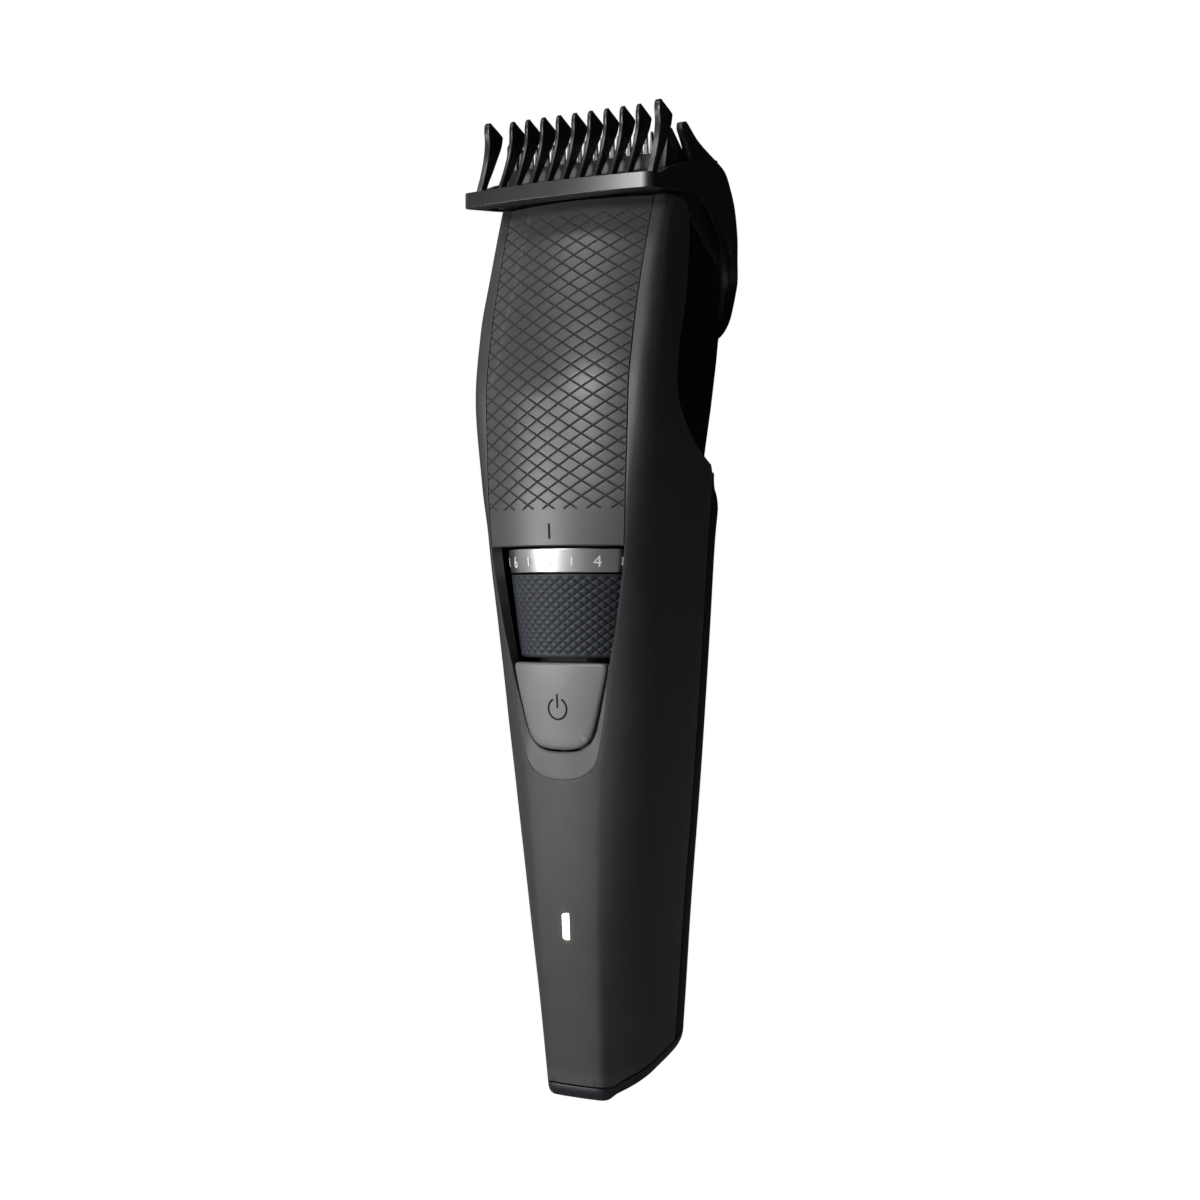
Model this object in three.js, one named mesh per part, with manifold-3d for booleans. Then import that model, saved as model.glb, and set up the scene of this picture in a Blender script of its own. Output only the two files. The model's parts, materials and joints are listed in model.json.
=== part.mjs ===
// Cordless beard trimmer with a height-setting wheel and a clip-on comb.
// Millimetres, +Z up along the handle, front face towards -Y, origin under the middle of its box.
import * as THREE from 'three';
import { mergeVertices } from 'three/addons/utils/BufferGeometryUtils.js';
import Module from 'manifold-3d';

const wasm = await Module();
wasm.setup();

// ---------------------------------------------------------------- driving dimensions
const TO_ORIGIN_Y = -5.8;      // moves the wheel-based layout so that the box is centred
const WALL = 1.8;              // housing wall
const GAP = 0.3;               // between neighbouring pieces
const SEAM = 0.15;             // half of a visible parting line
const COVER_SEAM_Y = 8.6;      // plane between main shell and rear cover
const SHELL_TOP_Z = 152;
const COVER_TOP_Z = 105.5;
const CAP_THICKNESS = 2.3;

const WHEEL_Y = -1.9;          // axis of the zoom wheel
const WHEEL_BOTTOM_Z = 74.8;
const RING_BOTTOM_Z = 88.9;
const WHEEL_TOP_Z = 93.0;
const WHEEL_BOTTOM_R = 12.6;
const WHEEL_TOP_R = 14.7;
const WHEEL_BORE_R = 9.8;
const THREAD_LEAD = 10;        // comb travel in one turn of the wheel
const TURN_DOWN = THREE.MathUtils.degToRad(172);
const TURN_UP = THREE.MathUtils.degToRad(190);

const PANEL_BOTTOM_Z = 93.4;
const PANEL_THICKNESS = 1.6;
const BUTTON_TOP_Z = 74;
const BUTTON_BOTTOM_Z = 59.4;
const BUTTON_HALF_WIDTH = 9.3;
const SCOOP_DEPTH = 0.6;
const SCOOP_BOTTOM_Z = 54.2;

const SHAFT_Y = 1.0;           // motor axis
const MOTOR = { x: 20, y: 15.4, bottom: 111.5, top: 136.5 };
const THROW = 1.2;             // eccentricity of the drive pin
const PIN_R = 0.9;

const COMB = { half: 18.8, wall: 1.3, band_bottom: 151.4, band_top: 154.2, tip: 166.9 };
const FIN_PITCH = 3.17;
const FIN_THICKNESS = 0.8;
const OUTER_FIN_X = 17.05;

const BLADE_HALF = 15.4;
const TOOTH_PITCH = 1.1;

// ---------------------------------------------------------------- housing shape by height
// each row: height, front middle, front corner half-width, side half-width, back middle
const BODY = [
  [-2, -8.0, 5.3, 9.4, 15.3],
  [15, -9.55, 5.9, 10.8, 15.6],
  [30, -10.9, 6.4, 11.9, 15.8],
  [54, -12.55, 7.5, 14.0, 16.2],
  [67, -13.4, 9.1, 15.0, 16.4],
  [80, -14.55, 11.2, 15.9, 16.6],
  [94, -15.85, 13.3, 16.8, 16.8],
  [104, -16.4, 13.8, 17.6, 17.7],
  [118, -16.5, 14.2, 18.3, 19.6],
  [130, -14.8, 14.35, 18.1, 22.3],
  [141, -12.0, 14.4, 17.4, 22.8],
  [153, -8.3, 14.5, 16.8, 22.8],
];
// each row: height, outward bulge of the side wall, its lead at the corner, its hold at the side
const FLARE = [
  [-2, 0.05, 0.12, 0.55],
  [15, 0.21, 0.12, 0.55],
  [30, 0.46, 0.12, 0.55],
  [54, 0.75, 0.12, 0.55],
  [67, 0.85, 0.12, 0.55],
  [94, 0.86, 0.12, 0.55],
  [104, 1.0, 0.07, 0.66],
  [118, 1.17, 0.03, 0.8],
  [130, 1.32, 0.03, 0.8],
  [141, 1.4, 0.03, 0.8],
  [153, 1.6, 0.03, 0.8],
];
const FRONT_RADIUS = 40;
const WIDEST_Y = 2;
const BACK_FULLNESS = 0.82;
const LEVELS = [-2, 10, 22, 36, 50, 60, 70, 80, 90, 97, 104, 111, 118, 124, 130, 136, 143, 153];

// underside: a level strip along the front edge, then climbing to the rounded rear edge
const UNDERSIDE = [
  [-25, 0], [-6.4, 0], [-5.2, 0.8], [-2.7, 1.9], [2.4, 3.8], [8, 5.6], [11.6, 6.8], [14.3, 8.2],
  [15.9, 10.0], [18, 14.4], [30, 40],
];

// ---------------------------------------------------------------- geometry helpers
function between(rows, z) {
  const last = rows.length - 1;
  let i = 0;
  while (i < last - 1 && z > rows[i + 1][0]) i += 1;
  const t = (z - rows[i][0]) / (rows[i + 1][0] - rows[i][0]);
  return rows[i].slice(1).map((v, k) => v + t * (rows[i + 1][k + 1] - v));
}

function bezier(p, count) {
  const curve = new THREE.CubicBezierCurve(...p.map(([x, y]) => new THREE.Vector2(x, y)));
  return curve.getPoints(count).map((v) => [v.x, v.y]);
}

// outline of the housing at one height, from the front middle by +X to the back and home
function outline(z) {
  const [front, corner, side, back] = between(BODY, z);
  const [bulge, lead, hold] = between(FLARE, z);
  const edge = front + (corner * corner) / (2 * FRONT_RADIUS);
  const drop = WIDEST_Y - edge;
  const half = [];
  for (let i = 0; i < 3; i += 1) {
    const x = (corner * i) / 3;
    half.push([x, front + (x * x) / (2 * FRONT_RADIUS)]);
  }
  const wall = bezier([
    [corner, edge],
    [corner + bulge * (side - corner), edge + lead * drop],
    [side, WIDEST_Y - hold * drop],
    [side, WIDEST_Y],
  ], 6);
  const rear = bezier([
    [side, WIDEST_Y],
    [side, WIDEST_Y + BACK_FULLNESS * (back - WIDEST_Y)],
    [side * (0.4 + 0.6 * BACK_FULLNESS), back],
    [side * 0.4, back],
  ], 5);
  half.push(...wall, ...rear.slice(1), [0, back]);
  const mirrored = half.slice(1, -1).reverse().map(([x, y]) => [-x, y]);
  return half.concat(mirrored);
}

// moves each point of a convex outline inwards by a distance
function inset(points, distance) {
  const n = points.length;
  return points.map(([x, y], i) => {
    const [ax, ay] = points[(i + n - 1) % n];
    const [bx, by] = points[(i + 1) % n];
    const u = new THREE.Vector2(x - ax, y - ay).normalize();
    const v = new THREE.Vector2(bx - x, by - y).normalize();
    const normal = new THREE.Vector2(-(u.y + v.y), u.x + v.x).normalize();
    const stretch = Math.max(0.5, -normal.x * u.y + normal.y * u.x);
    return [x + (normal.x * distance) / stretch, y + (normal.y * distance) / stretch];
  });
}

function loft(rings, heights) {
  const n = rings[0].length;
  const positions = [];
  const index = [];
  rings.forEach((ring, k) => ring.forEach(([x, y]) => positions.push(x, y, heights[k])));
  for (let k = 0; k < rings.length - 1; k += 1) {
    for (let i = 0; i < n; i += 1) {
      const a = k * n + i;
      const b = k * n + ((i + 1) % n);
      index.push(a, b, b + n, a, b + n, a + n);
    }
  }
  const top = (rings.length - 1) * n;
  for (let i = 1; i < n - 1; i += 1) {
    index.push(0, i + 1, i, top, top + i, top + i + 1);
  }
  const geometry = new THREE.BufferGeometry();
  geometry.setAttribute('position', new THREE.Float32BufferAttribute(positions, 3));
  geometry.setIndex(index);
  return geometry;
}

function solid(geometry) {
  const bare = geometry.clone();
  bare.deleteAttribute('normal');
  bare.deleteAttribute('uv');
  const merged = mergeVertices(bare, 1e-4);
  const mesh = new wasm.Mesh({
    numProp: 3,
    vertProperties: new Float32Array(merged.attributes.position.array),
    triVerts: new Uint32Array(merged.index.array),
  });
  return new wasm.Manifold(mesh);
}

function toGeometry(manifold) {
  const mesh = manifold.getMesh();
  const geometry = new THREE.BufferGeometry();
  geometry.setAttribute('position', new THREE.BufferAttribute(new Float32Array(mesh.vertProperties), 3));
  geometry.setIndex(new THREE.BufferAttribute(new Uint32Array(mesh.triVerts), 1));
  return geometry;
}

function block(x0, x1, y0, y1, z0, z1) {
  const box = new THREE.BoxGeometry(x1 - x0, y1 - y0, z1 - z0);
  return box.translate((x0 + x1) / 2, (y0 + y1) / 2, (z0 + z1) / 2);
}

function shapeOf(points) {
  return new THREE.Shape(points.map(([x, y]) => new THREE.Vector2(x, y)));
}

// an outline drawn in (y, z), given a width along X
function acrossX(points, x0, x1) {
  const geometry = new THREE.ExtrudeGeometry(shapeOf(points), { depth: x1 - x0, bevelEnabled: false });
  const turn = new THREE.Matrix4().set(0, 0, 1, x0, 1, 0, 0, 0, 0, 1, 0, 0, 0, 0, 0, 1);
  return geometry.applyMatrix4(turn);
}

// an outline drawn in (x, z), given a depth along Y
function alongY(points, y0, y1) {
  const geometry = new THREE.ExtrudeGeometry(shapeOf(points), { depth: y1 - y0, bevelEnabled: false });
  return geometry.rotateX(Math.PI / 2).translate(0, y1, 0);
}

// a profile of (radius, z) turned about a vertical axis at y
function turned(profile, y = 0, segments = 32, x = 0) {
  const points = profile.map(([r, z]) => new THREE.Vector2(r, z));
  return new THREE.LatheGeometry(points, segments).rotateX(Math.PI / 2).translate(x, y, 0);
}

function tube(inner, outer, z0, z1, y, segments = 32) {
  return turned([[inner, z0], [outer, z0], [outer, z1], [inner, z1], [inner, z0]], y, segments);
}

function rod(radius, z0, z1, x, y, segments = 16) {
  return turned([[0, z0], [radius, z0], [radius, z1], [0, z1]], y, segments, x);
}

function rodAlongY(radius, y0, y1, x, z, segments = 16) {
  const cylinder = new THREE.CylinderGeometry(radius, radius, y1 - y0, segments);
  return cylinder.translate(x, (y0 + y1) / 2, z);
}

// rectangle with round corners, walked the same way as the housing outline
function roundRect(halfX, y0, y1, r0, r1, steps = 4) {
  const half = [[0, y0]];
  for (let i = 0; i <= steps; i += 1) {
    const a = (Math.PI / 2) * (i / steps);
    half.push([halfX - r0 + r0 * Math.sin(a), y0 + r0 - r0 * Math.cos(a)]);
  }
  for (let i = 0; i <= steps; i += 1) {
    const a = (Math.PI / 2) * (i / steps);
    half.push([halfX - r1 + r1 * Math.cos(a), y1 - r1 + r1 * Math.sin(a)]);
  }
  half.push([0, y1]);
  const mirrored = half.slice(1, -1).reverse().map(([x, y]) => [-x, y]);
  return half.concat(mirrored);
}

// ---------------------------------------------------------------- materials
function finish(color, roughness, metalness = 0) {
  return new THREE.MeshStandardMaterial({ color, roughness, metalness });
}

const SHELL_BLACK = finish(0x1f1f20, 0.55);
const COVER_BLACK = finish(0x151516, 0.6);
const PANEL_GREY = finish(0x2c2c2e, 0.42);
const BUTTON_GREY = finish(0x4a4a4b, 0.35);
const GRIP_RUBBER = finish(0x20242b, 0.7);
const RING_METAL = finish(0xa8a8a8, 0.25, 0.9);
const COMB_BLACK = finish(0x161617, 0.35);
const CAP_BLACK = finish(0x1c2026, 0.4);
const LAMP = finish(0xfff1d8, 0.3);
const STEEL = finish(0xc9c9c6, 0.22, 1);
const BRASS = finish(0xb9a060, 0.4, 1);
const BOARD = finish(0x1f5a38, 0.6);
const INNER_PLASTIC = finish(0x2a2a2a, 0.7);
const WHITE_ACETAL = finish(0xdedcd4, 0.5);
const CELL_WRAP = finish(0x3f6f4a, 0.5);

const group = new THREE.Group();
group.position.y = TO_ORIGIN_Y;

function place(name, piece, material) {
  const geometry = piece.isBufferGeometry ? piece : toGeometry(piece);
  const mesh = new THREE.Mesh(geometry, material);
  mesh.name = name;
  group.add(mesh);
}

// ---------------------------------------------------------------- housing
function envelope(distance) {
  return solid(loft(LEVELS.map((z) => inset(outline(z), distance)), LEVELS));
}

const hullOuter = envelope(0);
const hullInner = envelope(WALL);

// half-width of the front opening: panel, wheel window and the scoop round the button
const OPENING = [
  [SCOOP_BOTTOM_Z, 0], [54.4, 2.4], [54.9, 4.2], [56.6, 6.3], [58, 7.0], [62, 7.9], [66, 8.6],
  [74, 9.8], [80, 11.0], [94, 13.3], [104, 13.8], [118, 14.2], [130, 14.35], [153, 14.5],
];

function openingShape(grow, z0, z1) {
  const rows = OPENING.filter(([z]) => z > z0 && z < z1).map(([z, x]) => [x + grow, z]);
  const low = [between(OPENING, z0)[0] + grow, z0];
  const high = [between(OPENING, z1)[0] + grow, z1];
  const right = [low, ...rows, high];
  const left = right.filter(([x]) => x > 0.01).reverse().map(([x, z]) => [-x, z]);
  return right.concat(left);
}

function frontPlate(shape, depth0, depth1) {
  return solid(alongY(shape, -30, -3)).intersect(envelope(depth0)).subtract(envelope(depth1));
}

function undersideRegion(lift, top) {
  const edge = UNDERSIDE.map(([y, z]) => [y, z + lift]);
  return solid(acrossX([...edge, [30, top], [-25, top]], -30, 30));
}

// the shell ends in front of the bare neck along this line
const NECK_LINE = [
  [30, 106.9], [9, 107.2], [5.6, 108.5], [2.2, 110.3], [-0.7, 112.6], [-3.4, 115.6], [-4.65, 118],
  [-5.3, 121.4], [-4.2, 127.6], [-0.7, 137.6], [1.2, 149.6], [0.6, 151.2], [-0.8, 152.0], [-0.8, 160],
  [30, 160],
];

const neckCut = solid(acrossX(NECK_LINE, -30, 30));
const frontHalf = solid(block(-30, 30, -30, COVER_SEAM_Y - SEAM, -5, 160));
const shellTop = solid(block(-30, 30, -30, 30, -5, SHELL_TOP_Z));
const lampHole = solid(block(-1.0, 1.0, -20, -6, 27.2, 31.9));

const mainShell = hullOuter.subtract(hullInner)
  .intersect(frontHalf)
  .intersect(shellTop)
  .intersect(undersideRegion(CAP_THICKNESS + GAP, 200))
  .subtract(neckCut)
  .subtract(solid(alongY(openingShape(SEAM, SCOOP_BOTTOM_Z, 152.9), -30, -3)))
  .subtract(lampHole);
place('main_shell', mainShell, SHELL_BLACK);

const coverRegion = solid(acrossX([
  [COVER_SEAM_Y + SEAM, -5], [40, -5], [40, COVER_TOP_Z - 2.5], [17.2, COVER_TOP_Z - 2.2],
  [15.6, COVER_TOP_Z], [COVER_SEAM_Y + SEAM, COVER_TOP_Z + 1],
], -30, 30));
place('rear_cover', hullOuter.subtract(hullInner)
  .intersect(coverRegion)
  .intersect(undersideRegion(CAP_THICKNESS + GAP, 200)), COVER_BLACK);

const INLET = { x: 3.4, y0: -3.5, y1: 1.1 };
const inletHole = solid(block(-INLET.x, INLET.x, INLET.y0, INLET.y1, -5, 8));
place('base_cap', hullOuter
  .intersect(undersideRegion(0, 200))
  .subtract(undersideRegion(CAP_THICKNESS, 200))
  .subtract(inletHole), CAP_BLACK);

place('front_panel', frontPlate(openingShape(-SEAM, PANEL_BOTTOM_Z, 151.9), 0, PANEL_THICKNESS), PANEL_GREY);

// shield-shaped button in its dished bezel
function shield(grow) {
  const points = [];
  const width = BUTTON_HALF_WIDTH + grow;
  const bottom = BUTTON_BOTTOM_Z - grow;
  points.push([width, BUTTON_TOP_Z + grow], [width - 0.5, 71.4], [width - 1.45, 67.6]);
  points.push([width - 2.5, 63.7], [width - 3.3, bottom + 2.3], [width - 3.95, bottom + 1.3]);
  points.push([width - 5.4, bottom + 0.4], [width - 7.3, bottom + 0.05], [0, bottom]);
  const left = points.slice(0, -1).reverse().map(([x, z]) => [-x, z]);
  return points.concat(left).reverse();
}

const bezelShape = openingShape(-SEAM, SCOOP_BOTTOM_Z + 0.3, 74.1);
place('button_bezel', frontPlate(bezelShape, SCOOP_DEPTH, SCOOP_DEPTH + 1.4)
  .subtract(solid(alongY(shield(0.25), -30, -3)))
  .subtract(solid(block(-30, 30, -30, 0, 73.7, 75))), SHELL_BLACK);

const buttonZ = 66.3;
place('power_button', frontPlate(shield(0), 0, 1.6)
  .add(solid(rodAlongY(1.6, -12.4, -11.45, 0, buttonZ))), BUTTON_GREY);

// ---------------------------------------------------------------- neck chassis
// each row: height, half-width, front, back
const NECK = [
  [95.6, 12.6, -12.6, 15.0],
  [104, 13.4, -12.9, 15.3],
  [111, 14.1, -12.9, 15.8],
  [118, 14.3, -12.7, 17.4],
  [126, 14.3, -11.7, 19.3],
  [132, 14.3, -10.5, 20.4],
  [141, 14.3, -8.2, 20.6],
  [151, 14.2, -5.0, 20.6],
];

function neckSolid(distance) {
  const rings = NECK.map(([, half, front, back]) => inset(roundRect(half, front, back, 5, 5), distance));
  return solid(loft(rings, NECK.map(([z]) => z)));
}

const DECK = { bottom: 142, top: 143.5 };
const neckSlope = solid(acrossX([
  [-20, 90], [30, 90], [30, 132.5], [20.6, 139.0], [3.5, 151.6], [-20, 151.6],
], -30, 30));
const carriageSlot = solid(block(-4.0, 4.0, 13, 30, 122.8, 141.6));
place('neck_frame', neckSolid(0)
  .intersect(neckSlope)
  .subtract(neckSolid(1.5).subtract(solid(block(-30, 30, -30, 30, DECK.bottom, DECK.top))))
  .subtract(solid(block(-11, 11, -20, -8, 90, 111.2)))
  .subtract(solid(rod(6.3, 140, 146, 0, SHAFT_Y, 24)))
  .subtract(carriageSlot), INNER_PLASTIC);

// ---------------------------------------------------------------- zoom wheel and comb carriage
const slope = (WHEEL_TOP_R - WHEEL_BOTTOM_R) / (WHEEL_TOP_Z - WHEEL_BOTTOM_Z);
const wheelRadius = (z) => WHEEL_BOTTOM_R + slope * (z - WHEEL_BOTTOM_Z);
const WHEEL_SIDES = 40;

place('zoom_wheel_grip', turned([
  [WHEEL_BORE_R, WHEEL_BOTTOM_Z], [WHEEL_BOTTOM_R - 0.5, WHEEL_BOTTOM_Z],
  [WHEEL_BOTTOM_R, WHEEL_BOTTOM_Z + 0.5],
  [wheelRadius(RING_BOTTOM_Z - SEAM), RING_BOTTOM_Z - SEAM], [WHEEL_BORE_R, RING_BOTTOM_Z - SEAM],
  [WHEEL_BORE_R, WHEEL_BOTTOM_Z],
], WHEEL_Y, WHEEL_SIDES), GRIP_RUBBER);

place('number_ring', turned([
  [WHEEL_BORE_R, RING_BOTTOM_Z + SEAM], [wheelRadius(RING_BOTTOM_Z + SEAM), RING_BOTTOM_Z + SEAM],
  [WHEEL_TOP_R, WHEEL_TOP_Z], [WHEEL_BORE_R, WHEEL_TOP_Z], [WHEEL_BORE_R, RING_BOTTOM_Z + SEAM],
], WHEEL_Y, WHEEL_SIDES), RING_METAL);

const SLEEVE_R = 8.2;
const SLEEVE_BORE_R = 6.0;
const CARRIAGE_R = 10.8;
const PEG_Z = 103;
const TONGUE = { half: 3.6, bottom: 128, top: 133.6 };   // stays under the cutting head at full height

class HelicalTrack extends THREE.Curve {
  getPoint(t, target = new THREE.Vector3()) {
    const turn = -TURN_DOWN + t * (TURN_UP + TURN_DOWN);
    const angle = Math.PI / 2 - turn;
    const height = PEG_Z + (THREAD_LEAD * turn) / (2 * Math.PI);
    return target.set(SLEEVE_R * Math.cos(angle), WHEEL_Y + SLEEVE_R * Math.sin(angle), height);
  }
}

const trackSection = new THREE.Shape();
trackSection.absarc(0, 0, 1.35, 0, 2 * Math.PI);
const track = new THREE.ExtrudeGeometry(trackSection, {
  extrudePath: new HelicalTrack(), steps: 40, curveSegments: 4, bevelEnabled: false,
});
place('helix_sleeve', solid(turned([
  [SLEEVE_BORE_R, 93.75], [11.2, 93.75], [11.2, 94.9], [SLEEVE_R, 94.9], [SLEEVE_R, 110],
  [SLEEVE_BORE_R, 110], [SLEEVE_BORE_R, 93.75],
], WHEEL_Y, WHEEL_SIDES)).subtract(solid(track)), WHITE_ACETAL);

place('wheel_hub', solid(turned([
  [7.9, 72.2], [12.2, 72.2], [12.2, 73.3], [9.4, 73.3], [9.4, 93.4], [7.9, 93.4], [7.9, 72.2],
], WHEEL_Y, 32)).intersect(solid(block(-20, 20, -10.4, 20, 70, 95))), INNER_PLASTIC);

place('detent_spring', alongY([
  [-6, 73.6], [6, 73.6], [1.2, 74.5], [-1.2, 74.5],
], WHEEL_Y + 10.2, WHEEL_Y + 11.7), STEEL);

const pegHole = solid(rodAlongY(1.2, WHEEL_Y + 7, WHEEL_Y + 11.2, 0, PEG_Z));
place('comb_carriage', solid(tube(SLEEVE_R + 0.4, CARRIAGE_R, 101, 105, WHEEL_Y, 32))
  .add(solid(block(-TONGUE.half, TONGUE.half, 8.2, 12.6, 101, 105)))
  .add(solid(block(-TONGUE.half, TONGUE.half, 10.4, 12.6, 101, TONGUE.top)))
  .add(solid(block(-TONGUE.half, TONGUE.half, 12.2, 23.4, TONGUE.bottom, TONGUE.top)))
  .add(solid(block(-5.5, 5.5, 21.5, 23.4, 127, 138)))
  .subtract(pegHole), WHITE_ACETAL);
place('follower_peg', rodAlongY(0.9, WHEEL_Y + 7.3, WHEEL_Y + 10.8, 0, PEG_Z), STEEL);

// ---------------------------------------------------------------- motor and drive
place('motor_can', solid(turned([
  [0, MOTOR.bottom], [10, MOTOR.bottom], [10, MOTOR.top], [0, MOTOR.top],
], SHAFT_Y, 32)).intersect(solid(block(
  -MOTOR.x / 2, MOTOR.x / 2, SHAFT_Y - MOTOR.y / 2, SHAFT_Y + MOTOR.y / 2, 100, 140,
))), STEEL);

const SCREW_X = 11.0;
const mountHoles = [-SCREW_X, SCREW_X].map((x) => solid(rod(1.0, 136, 140, x, SHAFT_Y, 12)));
place('motor_mount', solid(block(-12.4, 12.4, SHAFT_Y - 5, SHAFT_Y + 5, 136.8, 138.3))
  .subtract(solid(rod(3.2, 136, 140, 0, SHAFT_Y, 20)))
  .subtract(mountHoles[0])
  .subtract(mountHoles[1]), INNER_PLASTIC);

function screw(x, y, under) {
  return turned([
    [0, under - 6], [0.7, under - 6], [0.7, under], [1.5, under], [1.5, under + 1.1], [0.7, under + 1.1],
    [0.7, under + 0.5], [0, under + 0.5],
  ], y, 12, x);
}

place('mount_screw_left', screw(-SCREW_X, SHAFT_Y, 138.6), STEEL);
place('mount_screw_right', screw(SCREW_X, SHAFT_Y, 138.6), STEEL);

place('motor_shaft', rod(1.0, 136.8, 145.9, 0, SHAFT_Y), STEEL);
place('eccentric_cam', rod(3.0, 146.2, 148.4, 0, SHAFT_Y, 24), WHITE_ACETAL);
place('drive_pin', rod(PIN_R, 148.7, 152.6, 0, SHAFT_Y - THROW), STEEL);
place('shaft_seal', tube(1.4, 6.0, 142.2, 143.3, SHAFT_Y, 24), INNER_PLASTIC);

// ---------------------------------------------------------------- cutting head
const HEAD = [
  [-8.2, 152.3], [2.9, 152.3], [20.4, 139.4], [20.6, 142.5], [19.8, 146.5], [17.8, 149.5],
  [15, 152.8], [12.6, 154.4], [6, 157.6], [1.5, 159.4], [-1.8, 159.6], [-2.4, 159.2],
  [-4.8, 159.2], [-5.0, 158.0], [-5.6, 156.5], [-7.2, 153.8],
];
const CHEEK = [
  [-5.6, 156.3], [4, 156.3], [3.6, 157.8], [-0.2, 160.7], [-3.2, 163.3], [-3.9, 163.4], [-4.6, 162.6],
];
const cheekSpan = { inner: 15.6, outer: 16.2 };
const cheeks = [-1, 1].map((side) => {
  const ends = [side * cheekSpan.inner, side * cheekSpan.outer];
  return solid(acrossX(CHEEK, Math.min(...ends), Math.max(...ends)));
});
const headPlan = loft([
  roundRect(16.2, -9.5, 5.5, 2.5, 3), roundRect(16.2, -9.5, 5.5, 2.5, 3),
], [138, 160]);
const headRear = loft([roundRect(14.2, 0, 20.6, 1, 5), roundRect(14.2, 0, 20.6, 1, 5)], [138, 160]);
const headCavity = solid(acrossX([
  [-6.6, 150], [2, 150], [17.6, 138.6], [17.2, 142.6], [11.4, 149.2], [5.2, 153.6], [0, 155.6], [-4, 155.6],
  [-5.6, 153.6],
], -12.7, 12.7));
place('cutter_frame', solid(acrossX(HEAD, -20, 20))
  .intersect(solid(headPlan).add(solid(headRear)))
  .add(cheeks[0])
  .add(cheeks[1])
  .subtract(headCavity)
  .subtract(solid(block(-15.6, 15.6, -4.4, -1.8, 153.2, 160))), COMB_BLACK);

// a plate with a row of teeth: body from z0 to z1, teeth up to z2
function toothed(half, z0, z1, z2, share) {
  const count = Math.floor((2 * half) / TOOTH_PITCH);
  const start = (-count * TOOTH_PITCH) / 2;
  const points = [[half, z0], [half, z1]];
  for (let i = count - 1; i >= 0; i -= 1) {
    const left = start + i * TOOTH_PITCH + ((1 - share) * TOOTH_PITCH) / 2;
    const right = left + share * TOOTH_PITCH;
    const middle = (left + right) / 2;
    points.push([right, z1], [middle + 0.12, z2], [middle - 0.12, z2], [left, z1 + 0.001]);
  }
  points.push([-half, z1], [-half, z0]);
  return points;
}

place('guard_blade', alongY(toothed(BLADE_HALF, 153.6, 158.2, 163.0, 0.72), -4.15, -3.5), STEEL);
place('moving_blade', alongY(toothed(13.2, 153.9, 158.4, 162.3, 0.6), -3.2, -2.6), STEEL);
place('blade_carrier', solid(block(-9, 9, -2.3, 4.2, 151.0, 153.4))
  .add(solid(block(-9, 9, -2.3, -1.0, 153.2, 155.2)))
  .subtract(solid(block(-3.6, 3.6, SHAFT_Y - 2.4, SHAFT_Y + 2.4, 150, 152.9))), WHITE_ACETAL);

const springPath = new THREE.CatmullRomCurve3([
  new THREE.Vector3(-10.4, 2.4, 153.95), new THREE.Vector3(-6, 0.9, 153.95),
  new THREE.Vector3(0, -0.2, 153.95), new THREE.Vector3(6, 0.9, 153.95),
  new THREE.Vector3(10.4, 2.4, 153.95),
]);
const springSection = new THREE.Shape();
springSection.absarc(0, 0, 0.4, 0, 2 * Math.PI);
place('blade_spring', new THREE.ExtrudeGeometry(springSection, {
  extrudePath: springPath, steps: 14, curveSegments: 3, bevelEnabled: false,
}), STEEL);

// ---------------------------------------------------------------- attachment comb
// each row: height, half-width, back
const HOOD = [
  [130.6, 12.5, 24.8],
  [132, 13.2, 26.3],
  [135, 14.1, 27.4],
  [140, 15.2, 27.5],
  [145, 16.1, 26.1],
  [149, 17.0, 24.3],
  [154, 17.6, 21.9],
  [158, 17.8, 19.2],
  [166, 17.8, 15.4],
];

function hoodSolid(distance) {
  const rings = HOOD.map(([, half, back]) => inset(roundRect(half, -6, back, 2, 8), distance));
  const heights = HOOD.map(([z]) => z);
  if (distance > 0) {
    heights[0] -= 1;
    heights[heights.length - 1] += 1;
  }
  return solid(loft(rings, heights));
}

const hoodRegion = solid(acrossX([
  [22.0, 130.6], [22.8, 134.2], [22.9, 139.6], [19.6, 142.8], [15.2, 146.9], [10.6, 150.4], [7.5, 152.2],
  [4.5, 153.9], [2.2, 156.0], [0.6, 158.5], [-0.9, 161.2], [-2.3, 163.2], [-2.2, 164.2], [-1.4, 164.6],
  [-0.5, 164.2], [3.2, 161.9], [9.9, 159.5], [13.4, 158.1], [16.1, 156.3], [19.4, 153.4], [40, 152.8],
  [40, 130.6],
].reverse(), -30, 30));
const hood = hoodSolid(0).subtract(hoodSolid(COMB.wall)).intersect(hoodRegion);

const ARM_TAPER_Y = 1.0;       // behind this the arms draw in to meet the hood
const ARM_END_Y = 9.5;
const bandOuter = [];
for (let i = -6; i <= 6; i += 1) {
  const x = ((COMB.half - 1.0) * i) / 6;
  bandOuter.push([x, -15.7 + 1.5 * (x / COMB.half) ** 2]);
}
bandOuter.push([COMB.half, -13.2], [COMB.half, ARM_TAPER_Y], [COMB.half - 0.9, ARM_END_Y]);
bandOuter.push([COMB.half - 1.9, ARM_END_Y], [COMB.half - 1.05, ARM_TAPER_Y]);
bandOuter.push([COMB.half - 1.05, -8.8], [COMB.half - 3.2, -9.8]);
for (let i = 3; i >= -3; i -= 1) {
  const x = ((COMB.half - 5.2) * i) / 3;
  bandOuter.push([x, -10.4 + 0.4 * (x / COMB.half) ** 2]);
}
bandOuter.push([-COMB.half + 3.2, -9.8], [-COMB.half + 1.05, -8.8]);
bandOuter.push([-COMB.half + 1.05, ARM_TAPER_Y], [-COMB.half + 1.9, ARM_END_Y]);
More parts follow.
